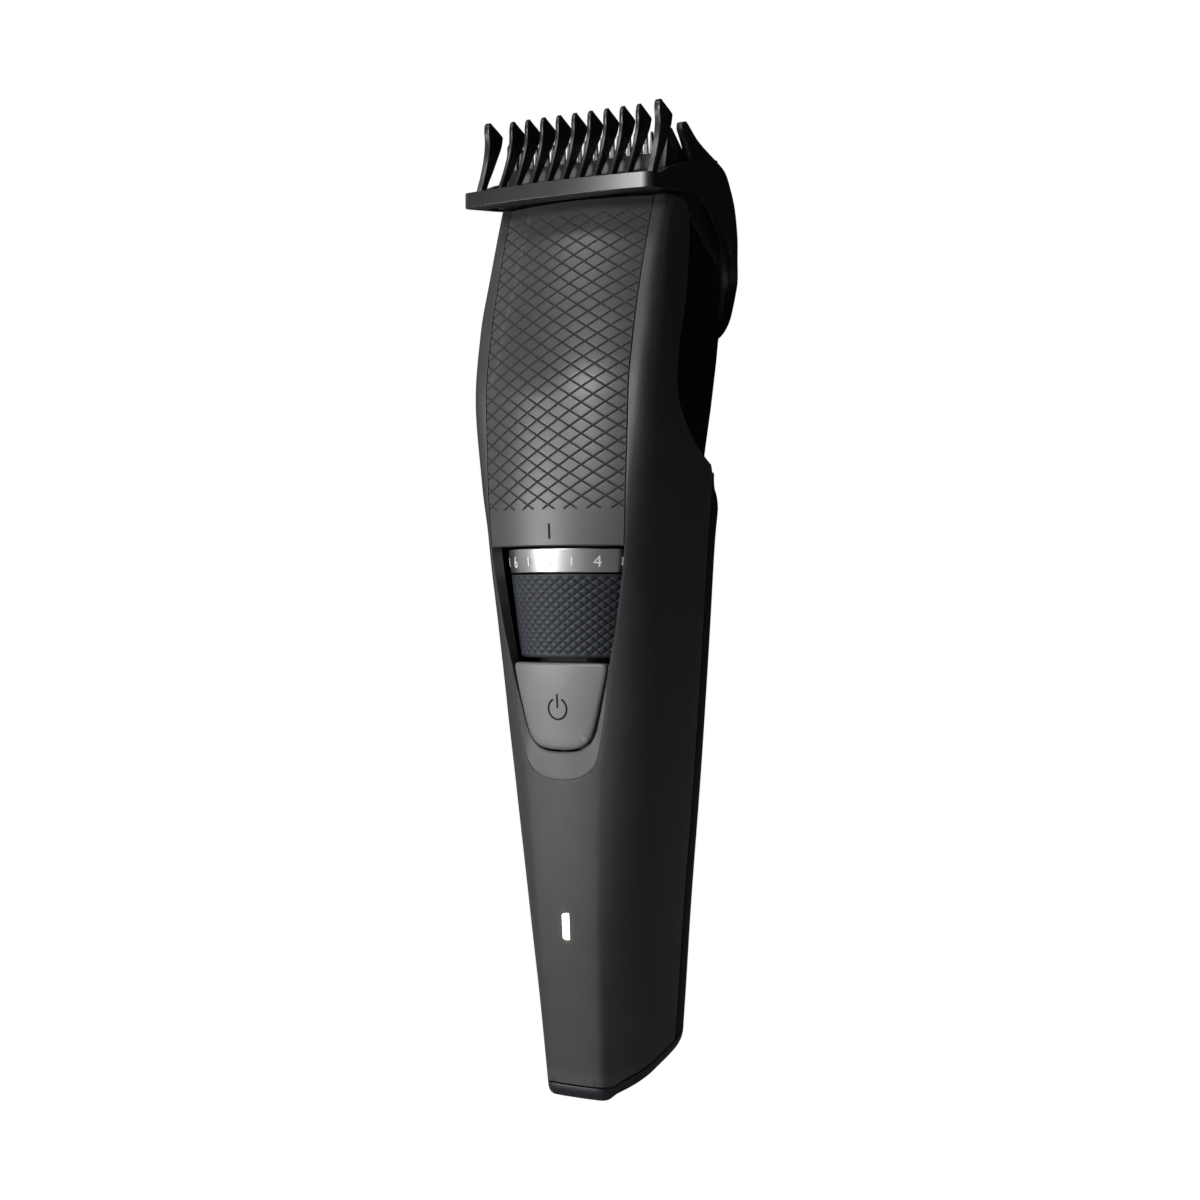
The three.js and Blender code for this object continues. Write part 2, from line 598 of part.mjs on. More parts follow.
bandOuter.push([-COMB.half + 0.9, ARM_END_Y], [-COMB.half, ARM_TAPER_Y], [-COMB.half, -13.2]);
const bandPlan = new THREE.ExtrudeGeometry(shapeOf(bandOuter), { depth: 12, bevelEnabled: false })
  .translate(0, 0, 150);
const bandRegion = solid(acrossX([
  [-18, COMB.band_bottom], [-12.6, COMB.band_bottom + 0.2], [-5.1, 152.4], [4.7, 153.6],
  [ARM_END_Y + 1, 154.4], [ARM_END_Y + 1, 160.0], [5.2, 159.5], [1.6, 158.7], [-5.1, 156.9],
  [-8.9, 155.5], [-11.6, COMB.band_top], [-18, COMB.band_top - 0.2],
], -30, 30));
let comb = solid(bandPlan).intersect(bandRegion).add(hood);

// side view of one guard fin, from the root in the band to the rounded tip
const FIN = [
  [-12.9, 152.6], [-10.9, 152.6], [-10.7, 154.6], [-9.8, 156.3], [-8.2, 158.5], [-6.6, 160.9],
  [-5.2, 163.0], [-4.5, 164.8], [-4.8, 165.3], [-7.4, 166.6], [-8.0, COMB.tip], [-8.5, 166.4],
  [-8.7, 165.3], [-8.75, 163.2], [-9.5, 160.4], [-10.8, 157.4], [-12.4, 154.3],
];
for (let i = -4; i <= 4; i += 1) {
  const x = i * FIN_PITCH;
  comb = comb.add(solid(acrossX(FIN, x - FIN_THICKNESS / 2, x + FIN_THICKNESS / 2)));
}
const upright = ([y, z]) => [y + 0.4 - (z - 153.2) * 0.115, z];
for (const side of [-1, 1]) {
  const x = side * OUTER_FIN_X;
  comb = comb.add(solid(acrossX(FIN.map(upright), x - 0.6, x + 0.6)));
}
place('attachment_comb', comb, COMB_BLACK);

// ---------------------------------------------------------------- power and electronics
const CELL = { y: 4.2, r: 7.1, bottom: 17, top: 65 };
place('battery_cell', turned([
  [0, CELL.bottom], [CELL.r, CELL.bottom], [CELL.r, CELL.top - 1.2], [2.6, CELL.top - 1.2], [2.6, CELL.top],
  [0, CELL.top],
], CELL.y, 24), CELL_WRAP);
const STRAP = { half: 2.5, front: -3.6, back: CELL.y + 2.5, thickness: 0.5 };
function cellStrap(z) {
  return block(-STRAP.half, STRAP.half, STRAP.front, STRAP.back, z, z + STRAP.thickness);
}
place('cell_strap_upper', cellStrap(CELL.top + GAP), STEEL);
place('cell_strap_lower', cellStrap(CELL.bottom - GAP - STRAP.thickness), STEEL);

const BOARD_Y = { front: -6.3, back: -5.1 };
const boardHoles = [20, 56].map((z) => solid(rodAlongY(1.2, -8, -3, 0, z, 12)));
place('circuit_board', solid(block(-4, 4, BOARD_Y.front, BOARD_Y.back, 15, 71.5))
  .subtract(boardHoles[0])
  .subtract(boardHoles[1]), BOARD);

function boardScrew(z) {
  const body = solid(rodAlongY(0.9, -7.4, -4.4, 0, z, 12));
  return body.add(solid(rodAlongY(1.8, -4.8, -3.9, 0, z, 12)));
}
place('board_screw_lower', boardScrew(20), STEEL);
place('board_screw_upper', boardScrew(56), STEEL);

place('tact_switch', block(-3, 3, -9.3, BOARD_Y.front - GAP, buttonZ - 3, buttonZ + 3), INNER_PLASTIC);
place('button_dome', new THREE.CylinderGeometry(2.6, 1.4, 1.0, 20).translate(0, -10.1, buttonZ), GRIP_RUBBER);

place('light_guide', solid(block(-0.85, 0.85, -14, -8.4, 27.35, 31.75)).intersect(hullOuter), LAMP);
place('led_emitter', block(-1, 1, -7.9, BOARD_Y.front - GAP, 28.6, 30.6), LAMP);

place('charging_socket', solid(block(-4.3, 4.3, -4.5, 2.1, 6.6, 14.2))
  .subtract(solid(block(-INLET.x, INLET.x, INLET.y0, INLET.y1, 6, 13))), INNER_PLASTIC);
place('inlet_pin_left', rod(0.75, 8.2, 12.7, -1.6, -1.2, 12), BRASS);
place('inlet_pin_right', rod(0.75, 8.2, 12.7, 1.6, -1.2, 12), BRASS);

export default group;
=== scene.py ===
import json
import math

import bmesh
import bpy
import numpy as np
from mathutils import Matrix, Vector


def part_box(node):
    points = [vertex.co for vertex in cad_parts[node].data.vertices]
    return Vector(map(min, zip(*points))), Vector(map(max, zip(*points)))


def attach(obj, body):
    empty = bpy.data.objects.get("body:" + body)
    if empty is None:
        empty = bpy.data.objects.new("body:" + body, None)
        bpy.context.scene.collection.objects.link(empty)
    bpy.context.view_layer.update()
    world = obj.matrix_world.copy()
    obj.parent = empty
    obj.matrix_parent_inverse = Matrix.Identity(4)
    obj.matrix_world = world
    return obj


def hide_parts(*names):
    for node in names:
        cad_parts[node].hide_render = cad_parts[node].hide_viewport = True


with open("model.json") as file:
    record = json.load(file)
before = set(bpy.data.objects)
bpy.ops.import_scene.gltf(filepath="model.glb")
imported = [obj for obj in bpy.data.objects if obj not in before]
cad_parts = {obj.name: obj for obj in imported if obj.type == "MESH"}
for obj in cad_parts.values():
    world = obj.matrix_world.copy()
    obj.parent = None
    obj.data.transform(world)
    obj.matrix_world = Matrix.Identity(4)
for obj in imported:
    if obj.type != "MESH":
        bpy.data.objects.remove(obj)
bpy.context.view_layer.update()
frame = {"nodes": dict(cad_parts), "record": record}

# Shapes are worked out in millimetres in the layout of the CAD source, whose y is measured so that
# the zoom wheel turns at WHEEL_Y. to_metres() puts a finished shape into the shared frame.
MM = 0.001
WHEEL_Y = -1.9
ring_low, ring_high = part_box("number_ring")
SHIFT_Y = (ring_low[1] + ring_high[1]) / 2 / MM - WHEEL_Y

WALL = 1.8
SEAM = 0.15
WIDEST_Y = 2.0
BACK_FULLNESS = 0.82
FRONT_RADIUS = 40.0
COVER_SEAM_Y = 8.6
SHELL_TOP_Z = 152.0
CAP_TO_SHELL = 2.6
CAP_THICKNESS = 2.3
WELD = 0.004


# ------------------------------------------------------------------ curves
def smooth_rows(rows):
    """A smooth curve through each column of a table, read against its first column. It never
    overshoots the values it passes through."""
    table = np.array(rows, float)
    z, values = table[:, 0], table[:, 1:]
    step = np.diff(z)[:, None]
    slope = np.diff(values, axis=0) / step
    tangent = np.zeros_like(values)
    tangent[0], tangent[-1] = slope[0], slope[-1]
    same_way = slope[1:] * slope[:-1] > 0
    steady = np.where(same_way, slope[1:] + slope[:-1], 1.0)
    tangent[1:-1] = np.where(same_way, 2 * slope[1:] * slope[:-1] / steady, 0.0)

    def at(height):
        i = int(np.clip(np.searchsorted(z, height) - 1, 0, len(z) - 2))
        h = z[i + 1] - z[i]
        t = min(max((height - z[i]) / h, 0.0), 1.0)
        a, b = values[i], values[i + 1]
        p, q = tangent[i] * h, tangent[i + 1] * h
        return (a * (2 * t**3 - 3 * t**2 + 1) + p * (t**3 - 2 * t**2 + t)
                + b * (3 * t**2 - 2 * t**3) + q * (t**3 - t**2))

    return at


def bezier(p0, p1, p2, p3, count):
    t = np.linspace(0, 1, count + 1)[:, None]
    p0, p1, p2, p3 = (np.array(p, float) for p in (p0, p1, p2, p3))
    return ((1 - t)**3 * p0 + 3 * (1 - t)**2 * t * p1 + 3 * (1 - t) * t**2 * p2 + t**3 * p3)


def through(points, steps):
    """A Catmull-Rom curve through the points."""
    p = [np.array(q, float) for q in points]
    n = len(p)
    out = []
    for i in range(n - 1):
        a = p[i - 1] if i > 0 else 2 * p[0] - p[1]
        b, c = p[i], p[i + 1]
        d = p[i + 2] if i < n - 2 else 2 * p[-1] - p[-2]
        for k in range(steps):
            t = k / steps
            out.append(0.5 * (2 * b + (c - a) * t + (2 * a - 5 * b + 4 * c - d) * t**2
                              + (3 * b - a - 3 * c + d) * t**3))
    out.append(p[-1])
    return out


def spread(polyline, fractions):
    """Points at the given fractions of a polyline's length."""
    line = np.array(polyline, float)
    along = np.concatenate([[0], np.cumsum(np.linalg.norm(np.diff(line, axis=0), axis=1))])
    want = np.array(fractions) * along[-1]
    return np.stack([np.interp(want, along, line[:, k]) for k in range(line.shape[1])], axis=1)


def smoothstep(value):
    t = min(max(value, 0.0), 1.0)
    return t * t * (3 - 2 * t)


# ------------------------------------------------------------------ housing form
# height, front middle, front corner half-width, side half-width, back middle
body_at = smooth_rows([
    [-2, -8.0, 5.3, 9.4, 15.3], [15, -9.55, 5.9, 10.8, 15.6], [30, -10.9, 6.4, 11.9, 15.8],
    [54, -12.55, 7.5, 14.0, 16.2], [67, -13.4, 9.1, 15.0, 16.4], [80, -14.55, 11.2, 15.9, 16.6],
    [94, -15.85, 13.3, 16.8, 16.8], [104, -16.4, 13.8, 17.6, 17.7], [118, -16.5, 14.2, 18.3, 19.6],
    [130, -14.8, 14.35, 18.1, 22.3], [141, -12.0, 14.4, 17.4, 22.8], [153, -8.3, 14.5, 16.8, 22.8],
])
# height, outward bulge of the side wall, its lead at the corner, its hold at the side
flare_at = smooth_rows([
    [-2, 0.05, 0.12, 0.55], [15, 0.21, 0.12, 0.55], [30, 0.46, 0.12, 0.55], [54, 0.75, 0.12, 0.55],
    [67, 0.85, 0.12, 0.55], [94, 0.86, 0.12, 0.55], [104, 1.0, 0.07, 0.66], [118, 1.17, 0.03, 0.8],
    [130, 1.32, 0.03, 0.8], [141, 1.4, 0.03, 0.8], [153, 1.6, 0.03, 0.8],
])
# half-width of the front opening: scoop round the button, wheel window, panel
opening_at = smooth_rows([
    [54.2, 0], [54.4, 2.4], [54.9, 4.2], [56.6, 6.3], [58, 7.0], [62, 7.9], [66, 8.6], [74, 9.8],
    [80, 11.0], [94, 13.3], [104, 13.8], [118, 14.2], [130, 14.35], [153, 14.5],
])
# the shell's rear edge beside the bare neck: height, y
neck_edge_at = smooth_rows([
    [106.0, 20.0], [107.2, 9.0], [108.5, 5.6], [110.3, 2.2], [112.6, -0.7], [115.6, -3.4],
    [118, -4.65], [121.4, -5.3], [127.6, -4.2], [137.6, -0.7], [149.6, 1.2], [151.2, 0.6],
    [152.0, -0.8],
])
# underside of the base: y, height
underside_at = smooth_rows([
    [-25, 0], [-6.4, 0], [-5.2, 0.8], [-2.7, 1.9], [2.4, 3.8], [8, 5.6], [11.6, 6.8], [14.3, 8.2],
    [15.9, 10.0], [18, 14.4], [30, 40],
])
OPENING_BOTTOM_Z = 54.2
BUTTON_TOP_Z = 74.0
CORNER_ROUND = 1.8
FRONT_SEAM = 0.03
SEAM_GROWTH = 5.0
# share of the side half-width over which the back is flat
BACK_FLAT = 0.4
WALL_STEPS = 60
FILLET_STEPS = 12
REAR_STEPS = 28


def seam_at(z):
    """Half the parting line round the front pieces. Round the button's scoop it hardly shows."""
    return FRONT_SEAM + (SEAM - FRONT_SEAM) * smoothstep((z - BUTTON_TOP_Z - 1) / SEAM_GROWTH)


def corner_round(z):
    """How far from the front corner its rounding starts: wide low down, crisp beside the panel."""
    if z < OPENING_BOTTOM_Z:
        return CORNER_ROUND
    return min(CORNER_ROUND, max(0.02, body_at(z)[1] - opening_at(z)[0] - seam_at(z) - 0.02))


def front_at(x, z):
    return body_at(z)[0] + x * x / (2 * FRONT_RADIUS)


def side_section(z):
    """Half outline from the front corner by the side to the back middle."""
    front, corner, side, back = body_at(z)
    bulge, lead, hold = flare_at(z)
    edge = front + corner * corner / (2 * FRONT_RADIUS)
    drop = WIDEST_Y - edge
    reach = bulge * (side - corner)
    wall = bezier((corner, edge), (corner + reach, edge + lead * drop),
                  (side, WIDEST_Y - hold * drop), (side, WIDEST_Y), WALL_STEPS)
    ease = corner_round(z)
    along = np.concatenate([[0], np.cumsum(np.linalg.norm(np.diff(wall, axis=0), axis=1))])
    past = wall[along > ease]
    meet = [np.interp(ease, along, wall[:, 0]), np.interp(ease, along, wall[:, 1])]
    start = (corner - ease, front_at(corner - ease, z))
    fillet = bezier(start, (corner, edge), (corner, edge), meet, FILLET_STEPS)
    wall = np.vstack([fillet, past])
    turn = BACK_FLAT + (1 - BACK_FLAT) * BACK_FULLNESS
    rear = bezier((side, WIDEST_Y), (side, WIDEST_Y + BACK_FULLNESS * (back - WIDEST_Y)),
                  (side * turn, back), (side * BACK_FLAT, back), REAR_STEPS)
    return np.vstack([wall, rear[1:], [[0, back]]])


def cut_between(line, y0, y1):
    """The part of a half outline from y0 to y1, both met exactly."""
    ys = line[:, 1]
    inside = line[(ys > y0) & (ys < y1)]
    ends = []
    for y in (y0, y1):
        k = int(np.argmax(ys >= y)) if ys[-1] >= y else len(ys) - 1
        if k == 0:
            ends.append(line[0])
        else:
            t = (y - ys[k - 1]) / max(ys[k] - ys[k - 1], 1e-9)
            ends.append(line[k - 1] + min(max(t, 0.0), 1.0) * (line[k] - line[k - 1]))
    return np.vstack([ends[0], inside, ends[1]])


# ------------------------------------------------------------------ mesh helpers
def sheet(rows, keep=None, flip=False, wrap=False):
    """A bmesh grid over rows of points. keep(row, column) can leave cells out."""
    bm = bmesh.new()
    verts = [[bm.verts.new(p) for p in row] for row in rows]
    columns = len(rows[0])
    for r in range(len(rows) - 1):
        for c in range(columns if wrap else columns - 1):
            if keep and not keep(r, c):
                continue
            d = (c + 1) % columns
            corners = [verts[r][c], verts[r][d], verts[r + 1][d], verts[r + 1][c]]
            bm.faces.new(corners[::-1] if flip else corners)
    return bm


def mirrored(bm):
    """Adds the half with negative x and welds the two along the middle."""
    copy = bmesh.ops.duplicate(bm, geom=bm.verts[:] + bm.edges[:] + bm.faces[:])["geom"]
    for item in copy:
        if isinstance(item, bmesh.types.BMVert):
            item.co.x = -item.co.x
    bmesh.ops.reverse_faces(bm, faces=[f for f in copy if isinstance(f, bmesh.types.BMFace)])
    bmesh.ops.remove_doubles(bm, verts=bm.verts[:], dist=WELD)
    return bm


def prism(outline, to_point, low, high):
    """A closed prism: an outline drawn in two coordinates, given a length along the third."""
    bm = bmesh.new()
    ends = [[bm.verts.new(to_point(a, b, level)) for a, b in outline] for level in (low, high)]
    n = len(outline)
    for i in range(n):
        j = (i + 1) % n
        bm.faces.new([ends[0][i], ends[0][j], ends[1][j], ends[1][i]])
    bm.faces.new(ends[0][::-1])
    bm.faces.new(ends[1])
    bmesh.ops.recalc_face_normals(bm, faces=bm.faces[:])
    return bm


def across_x(a, b, level):
    return (level, a, b)


def along_y(a, b, level):
    return (a, level, b)


def along_z(a, b, level):
    return (a, b, level)


def lathe(profile, y, sides):
    """A closed profile of (radius, height) turned about a vertical axis."""
    rows = []
    for radius, z in profile:
        turn = [2 * math.pi * k / sides for k in range(sides)]
        rows.append([(radius * math.sin(t), y - radius * math.cos(t), z) for t in turn])
    bm = sheet(rows + [rows[0]], wrap=True)
    bmesh.ops.remove_doubles(bm, verts=bm.verts[:], dist=1e-4)
    bmesh.ops.recalc_face_normals(bm, faces=bm.faces[:])
    return bm


def loft(rings, heights):
    bm = sheet([[(x, y, z) for x, y in ring] for ring, z in zip(rings, heights)], wrap=True)
    bm.verts.ensure_lookup_table()
    n = len(rings[0])
    bm.faces.new(bm.verts[:n][::-1])
    bm.faces.new(bm.verts[-n:])
    bmesh.ops.recalc_face_normals(bm, faces=bm.faces[:])
    return bm


def round_rect(half, y0, y1, r0, r1, steps):
    """A rectangle with round corners, from the front middle by +x and round."""
    right = [(0, y0)]
    for i in range(steps + 1):
        a = math.pi / 2 * i / steps
        right.append((half - r0 + r0 * math.sin(a), y0 + r0 - r0 * math.cos(a)))
    for i in range(steps + 1):
        a = math.pi / 2 * i / steps
        right.append((half - r1 + r1 * math.cos(a), y1 - r1 + r1 * math.sin(a)))
    right.append((0, y1))
    return right + [(-x, y) for x, y in right[-2:0:-1]]


def to_metres(bm, name):
    mesh = bpy.data.meshes.new(name)
    for v in bm.verts:
        v.co = Vector((v.co.x * MM, (v.co.y + SHIFT_Y) * MM, v.co.z * MM))
    bm.to_mesh(mesh)
    bm.free()
    obj = bpy.data.objects.new(name, mesh)
    bpy.context.scene.collection.objects.link(obj)
    return obj


def settle(obj):
    """Makes the modifiers' result the object's own mesh."""
    graph = bpy.context.evaluated_depsgraph_get()
    mesh = bpy.data.meshes.new_from_object(obj.evaluated_get(graph))
    obj.modifiers.clear()
    obj.data = mesh
    return obj


def solidify(obj, thickness):
    """Gives a sheet a thickness, on the side away from its normals."""
    modifier = obj.modifiers.new("wall", "SOLIDIFY")
    modifier.thickness = thickness * MM
    modifier.offset = -1.0
    modifier.use_even_offset = True
    modifier.use_quality_normals = True
    return settle(obj)


def bevel(obj, width, segments, angle):
    modifier = obj.modifiers.new("edges", "BEVEL")
    modifier.width = width * MM
    modifier.segments = segments
    modifier.limit_method = "ANGLE"
    modifier.angle_limit = math.radians(angle)
    modifier.use_clamp_overlap = True
    return settle(obj)


def combine(base, tool, operation):
    """Joins, cuts or intersects two closed shapes, and drops the tool."""
    modifier = base.modifiers.new("combine", "BOOLEAN")
    modifier.operation = operation
    modifier.solver = "MANIFOLD"
    modifier.object = tool
    settle(base)
    bpy.data.objects.remove(tool)
    return base


def shade(obj, angle):
    obj.data.shade_smooth()
    obj.data.set_sharp_from_angle(angle=math.radians(angle))
    weighted = obj.modifiers.new("normals", "WEIGHTED_NORMAL")
    weighted.keep_sharp = True
    return obj


def as_piece(obj, material, slot, body, *nodes, angle=35):
    obj.data.materials.clear()
    obj.data.materials.append(material)
    shade(obj, angle)
    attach(obj, body)
    if nodes:
        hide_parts(*nodes)
    return obj


# ------------------------------------------------------------------ materials
# how sharp an edge is where its wear starts and where it is full, and how strong it gets
WEAR_START = 0.52
WEAR_FULL = 0.62
WEAR_SHARE = 0.35


class Surface:
    """A Principled material whose colour, roughness and relief come from noise in object space."""

    def __init__(self, name, color, roughness, metallic=0.0, specular=0.5):
        self.material = bpy.data.materials.new(name)
        self.material.use_nodes = True
        self.tree = self.material.node_tree
        self.shader = self.tree.nodes["Principled BSDF"]
        self.shader.inputs["Metallic"].default_value = metallic
        self.shader.inputs["Specular IOR Level"].default_value = specular
        self.place = self.tree.nodes.new("ShaderNodeTexCoord").outputs["Object"]
        self.color = color
        self.roughness = roughness
        self.normal = None

    def link(self, source, target):
        self.tree.links.new(source, target)

    def noise(self, size_mm, detail=2.0, stretch=(1, 1, 1)):
        mapping = self.tree.nodes.new("ShaderNodeMapping")
        mapping.inputs["Scale"].default_value = stretch
        self.link(self.place, mapping.inputs["Vector"])
        node = self.tree.nodes.new("ShaderNodeTexNoise")
        node.inputs["Scale"].default_value = 1 / (size_mm * MM)
        node.inputs["Detail"].default_value = detail
        self.link(mapping.outputs["Vector"], node.inputs["Vector"])
        return node.outputs["Fac"]

    def spread_color(self, factor, amount):
        """Mixes a darker and a lighter tone of the colour by a factor, and wears raised edges."""
        ramp = self.tree.nodes.new("ShaderNodeValToRGB")
        ramp.color_ramp.elements[0].position = 0.3
        ramp.color_ramp.elements[1].position = 0.7
        for element, sign in zip(ramp.color_ramp.elements, (-1, 1)):
            element.color = (*[c * (1 + sign * amount) for c in self.color], 1)
        self.link(factor, ramp.inputs["Fac"])
        point = self.tree.nodes.new("ShaderNodeNewGeometry").outputs["Pointiness"]
        wear = self.tree.nodes.new("ShaderNodeMapRange")
        wear.inputs["From Min"].default_value = WEAR_START
        wear.inputs["From Max"].default_value = WEAR_FULL
        wear.inputs["To Max"].default_value = WEAR_SHARE
        self.link(point, wear.inputs["Value"])
        mix = self.tree.nodes.new("ShaderNodeMix")
        mix.data_type = "RGBA"
        mix.inputs[7].default_value = (*[min(1.0, c * 1.8 + 0.01) for c in self.color], 1)
        self.link(wear.outputs["Result"], mix.inputs[0])
        self.link(ramp.outputs["Color"], mix.inputs[6])
        self.link(mix.outputs[2], self.shader.inputs["Base Color"])

    def spread_roughness(self, factor, amount):
        span = self.tree.nodes.new("ShaderNodeMapRange")
        span.inputs["To Min"].default_value = self.roughness - amount
        span.inputs["To Max"].default_value = self.roughness + amount
        self.link(factor, span.inputs["Value"])
        self.link(span.outputs["Result"], self.shader.inputs["Roughness"])

    def relief(self, factor, depth_mm, strength=1.0):
        bump = self.tree.nodes.new("ShaderNodeBump")
        bump.inputs["Strength"].default_value = strength
        bump.inputs["Distance"].default_value = depth_mm * MM
        self.link(factor, bump.inputs["Height"])
        if self.normal is not None:
            self.link(self.normal, bump.inputs["Normal"])
        self.normal = bump.outputs["Normal"]
        self.link(self.normal, self.shader.inputs["Normal"])


def moulded(name, color, roughness, grain_mm=0.28, grain_depth=0.012, specular=0.5, mottle=0.1):
    """Moulded plastic: soft mottling, spark-eroded grain, faint scuffs."""
    surface = Surface(name, color, roughness, specular=specular)
    surface.spread_color(surface.noise(6.0, 4.0), mottle)
    surface.spread_roughness(surface.noise(9.0, 5.0), 0.05)
    surface.relief(surface.noise(2.5, 2.0), 0.01, 0.5)
    surface.relief(surface.noise(grain_mm, 2.0), grain_depth)
    return surface.material


def turned_metal(name, color, roughness, stretch=(1, 1, 12), line_depth=0.004, uneven=0.06):
    """Metal with fine tool lines."""
    surface = Surface(name, color, roughness, metallic=1.0)
    surface.spread_color(surface.noise(3.0, 3.0), 0.06)
    surface.spread_roughness(surface.noise(1.5, 4.0, stretch), uneven)
    surface.relief(surface.noise(1.2, 3.0, stretch), line_depth)
    return surface.material


def lit(name, color, strength):
    surface = Surface(name, color, 0.3)
    surface.spread_color(surface.noise(1.5, 2.0), 0.08)
    surface.relief(surface.noise(0.6, 2.0), 0.01)
    surface.shader.inputs["Emission Color"].default_value = (*color, 1)
    surface.shader.inputs["Emission Strength"].default_value = strength
    return surface.material


def grey(value, warm=0.0):
    return (value * (1 + warm), value, value * (1 - warm))


SHELL = moulded("shell_black", grey(0.036), 0.46, specular=0.5)
COVER = moulded("cover_black", grey(0.010), 0.58, specular=0.15)
CAP = moulded("cap_black", (0.011, 0.013, 0.017), 0.42, grain_mm=0.4, grain_depth=0.006)
PANEL = moulded("panel_grey", grey(0.056), 0.36, grain_mm=0.2, grain_depth=0.004, mottle=0.05)
BUTTON = moulded("button_grey", grey(0.140), 0.38, grain_mm=0.2, grain_depth=0.003, mottle=0.04)
BEZEL = moulded("bezel_grey", grey(0.036), 0.38, grain_mm=0.2, specular=0.35, mottle=0.05)
NECK = moulded("neck_black", grey(0.003), 0.6, specular=0.08)
RUBBER = moulded("grip_rubber", (0.027, 0.031, 0.040), 0.55, grain_mm=0.12, grain_depth=0.01)
COMB = moulded("comb_black", grey(0.020), 0.28, grain_mm=0.25, grain_depth=0.003)
INNER = moulded("inner_plastic", grey(0.012), 0.6, specular=0.2)
ACETAL = moulded("acetal", grey(0.62, 0.03), 0.42, grain_mm=0.5, grain_depth=0.004)
# near-black strips: painted shade that stands in for the shade inside engraved lines, not an inlaid
# material
PAINTED_GROOVE_SHADE = moulded("painted_groove_shade", grey(0.006), 0.6, grain_depth=0.002, specular=0.1)
WHITE = moulded("white_print", grey(0.85), 0.45, grain_depth=0.002, mottle=0.03)
WRAP = moulded("cell_wrap", (0.06, 0.2, 0.1), 0.35, grain_mm=1.2, grain_depth=0.01)
BOARD = moulded("board", (0.02, 0.12, 0.05), 0.35, grain_mm=0.7, grain_depth=0.01)
RING = turned_metal("ring_metal", grey(0.56), 0.34, line_depth=0.0006, uneven=0.01)
STEEL = turned_metal("steel", grey(0.26, 0.01), 0.28, (1, 1, 6))
NICKEL = turned_metal("nickel", grey(0.55, 0.05), 0.35, (6, 1, 1))
BRASS = turned_metal("brass", (0.65, 0.48, 0.22), 0.3)
LAMP = lit("lamp", (1.0, 0.90, 0.72), 2.6)

BY_SLOT = {
    "shell_black": SHELL, "cover_black": COVER, "cap_black": CAP, "panel_grey": PANEL,
    "button_grey": BUTTON, "neck_black": NECK, "grip_rubber": RUBBER, "ring_metal": RING,
    "comb_black": COMB, "lamp": LAMP, "steel": STEEL, "nickel": NICKEL, "brass": BRASS,
    "board": BOARD, "inner_plastic": INNER, "acetal": ACETAL, "cell_wrap": WRAP,
}


def finish_cad_nodes():
    """Gives every CAD node the material of its slot in the record."""
    for part in frame["record"]["subparts"]:
        node = frame["nodes"][part["node"]]
        for slot in node.material_slots:
            slot.material = BY_SLOT[part["material_slot"]]


# ------------------------------------------------------------------ main shell
FRONT_COLUMNS = [0.0, 0.157, 0.3, 0.44, 0.58, 0.72, 0.86, 1.0]
SIDE_COLUMNS = 36
# above 1, the columns crowd toward the front corner
SIDE_CROWDING = 1.25
SHELL_ROW = 1.5
LAMP_HOLE = (27.2, 31.9)
COVER_START_Z = 106
LEVEL_EDGE_Z = 20.0


def seat_on_base(z, y):
    """Shifts a height near the base so that the edge follows the slanted underside."""
    if z >= LEVEL_EDGE_Z:
        return z
    bottom = underside_at(y)[0] + CAP_TO_SHELL
    return bottom + (z - CAP_TO_SHELL) / (LEVEL_EDGE_Z - CAP_TO_SHELL) * (LEVEL_EDGE_Z - bottom)


def settled_point(point_at, z):
    """A point of the outline at a height that itself depends on the point's y."""
    x, y = point_at(z)
    for _ in range(3):
        seated = seat_on_base(z, y)
        x, y = point_at(seated)
    return (x, y, seated)


def shell_rows():
    """Even rows, with close ones where the scoop's outline turns."""
    marks = [*LAMP_HOLE, OPENING_BOTTOM_Z, 54.23, 54.3, 54.4, 54.6, 54.9, 55.4, 56.0, 56.6, 57.5,
             SHELL_TOP_Z]
    even = np.arange(CAP_TO_SHELL, SHELL_TOP_Z, SHELL_ROW)
    plain = [z for z in even if min(abs(z - m) for m in marks) > 0.4]
    return sorted(plain + marks)


def shell_point(fraction, is_front):
    def at(z):
        if is_front:
            corner = body_at(z)[1] - corner_round(z)
            start = min(opening_at(z)[0] + seam_at(z), corner) if z > OPENING_BOTTOM_Z else 0.0
            x = start + fraction * (corner - start)
            return (x, front_at(x, z))
        end = COVER_SEAM_Y - SEAM
        if z > COVER_START_Z:
            end = min(end, neck_edge_at(z)[0])
        line = cut_between(side_section(z), -90, end)
        return tuple(spread(line, [fraction ** SIDE_CROWDING])[0])
    return at


def main_shell():
    heights = shell_rows()
    points = [shell_point(f, True) for f in FRONT_COLUMNS]
    points += [shell_point(k / SIDE_COLUMNS, False) for k in range(1, SIDE_COLUMNS + 1)]
    rows = [[settled_point(p, z) for p in points] for z in heights]
    hole_rows = [heights.index(LAMP_HOLE[0]), heights.index(LAMP_HOLE[1])]

    def keep(row, column):
        return not (column == 0 and hole_rows[0] <= row < hole_rows[1])

    shell = to_metres(mirrored(sheet(rows, keep)), "shell_moulding")
    bevel(solidify(shell, WALL), 0.16, 2, 50)
    return as_piece(shell, SHELL, "shell_black", "housing", "main_shell", angle=40)


# ------------------------------------------------------------------ rear cover
COVER_ROWS = 84
COVER_COLUMNS = 30
SHOULDER_Z = 99.5
SHOULDER_TALL = 6.0
SHOULDER_DEEP = 1.9
# the cover's top edge: y, height
cover_top_at = smooth_rows([[8, 106.5], [8.75, 106.4], [15.6, 105.5], [17.2, 103.4], [25, 103.0]])


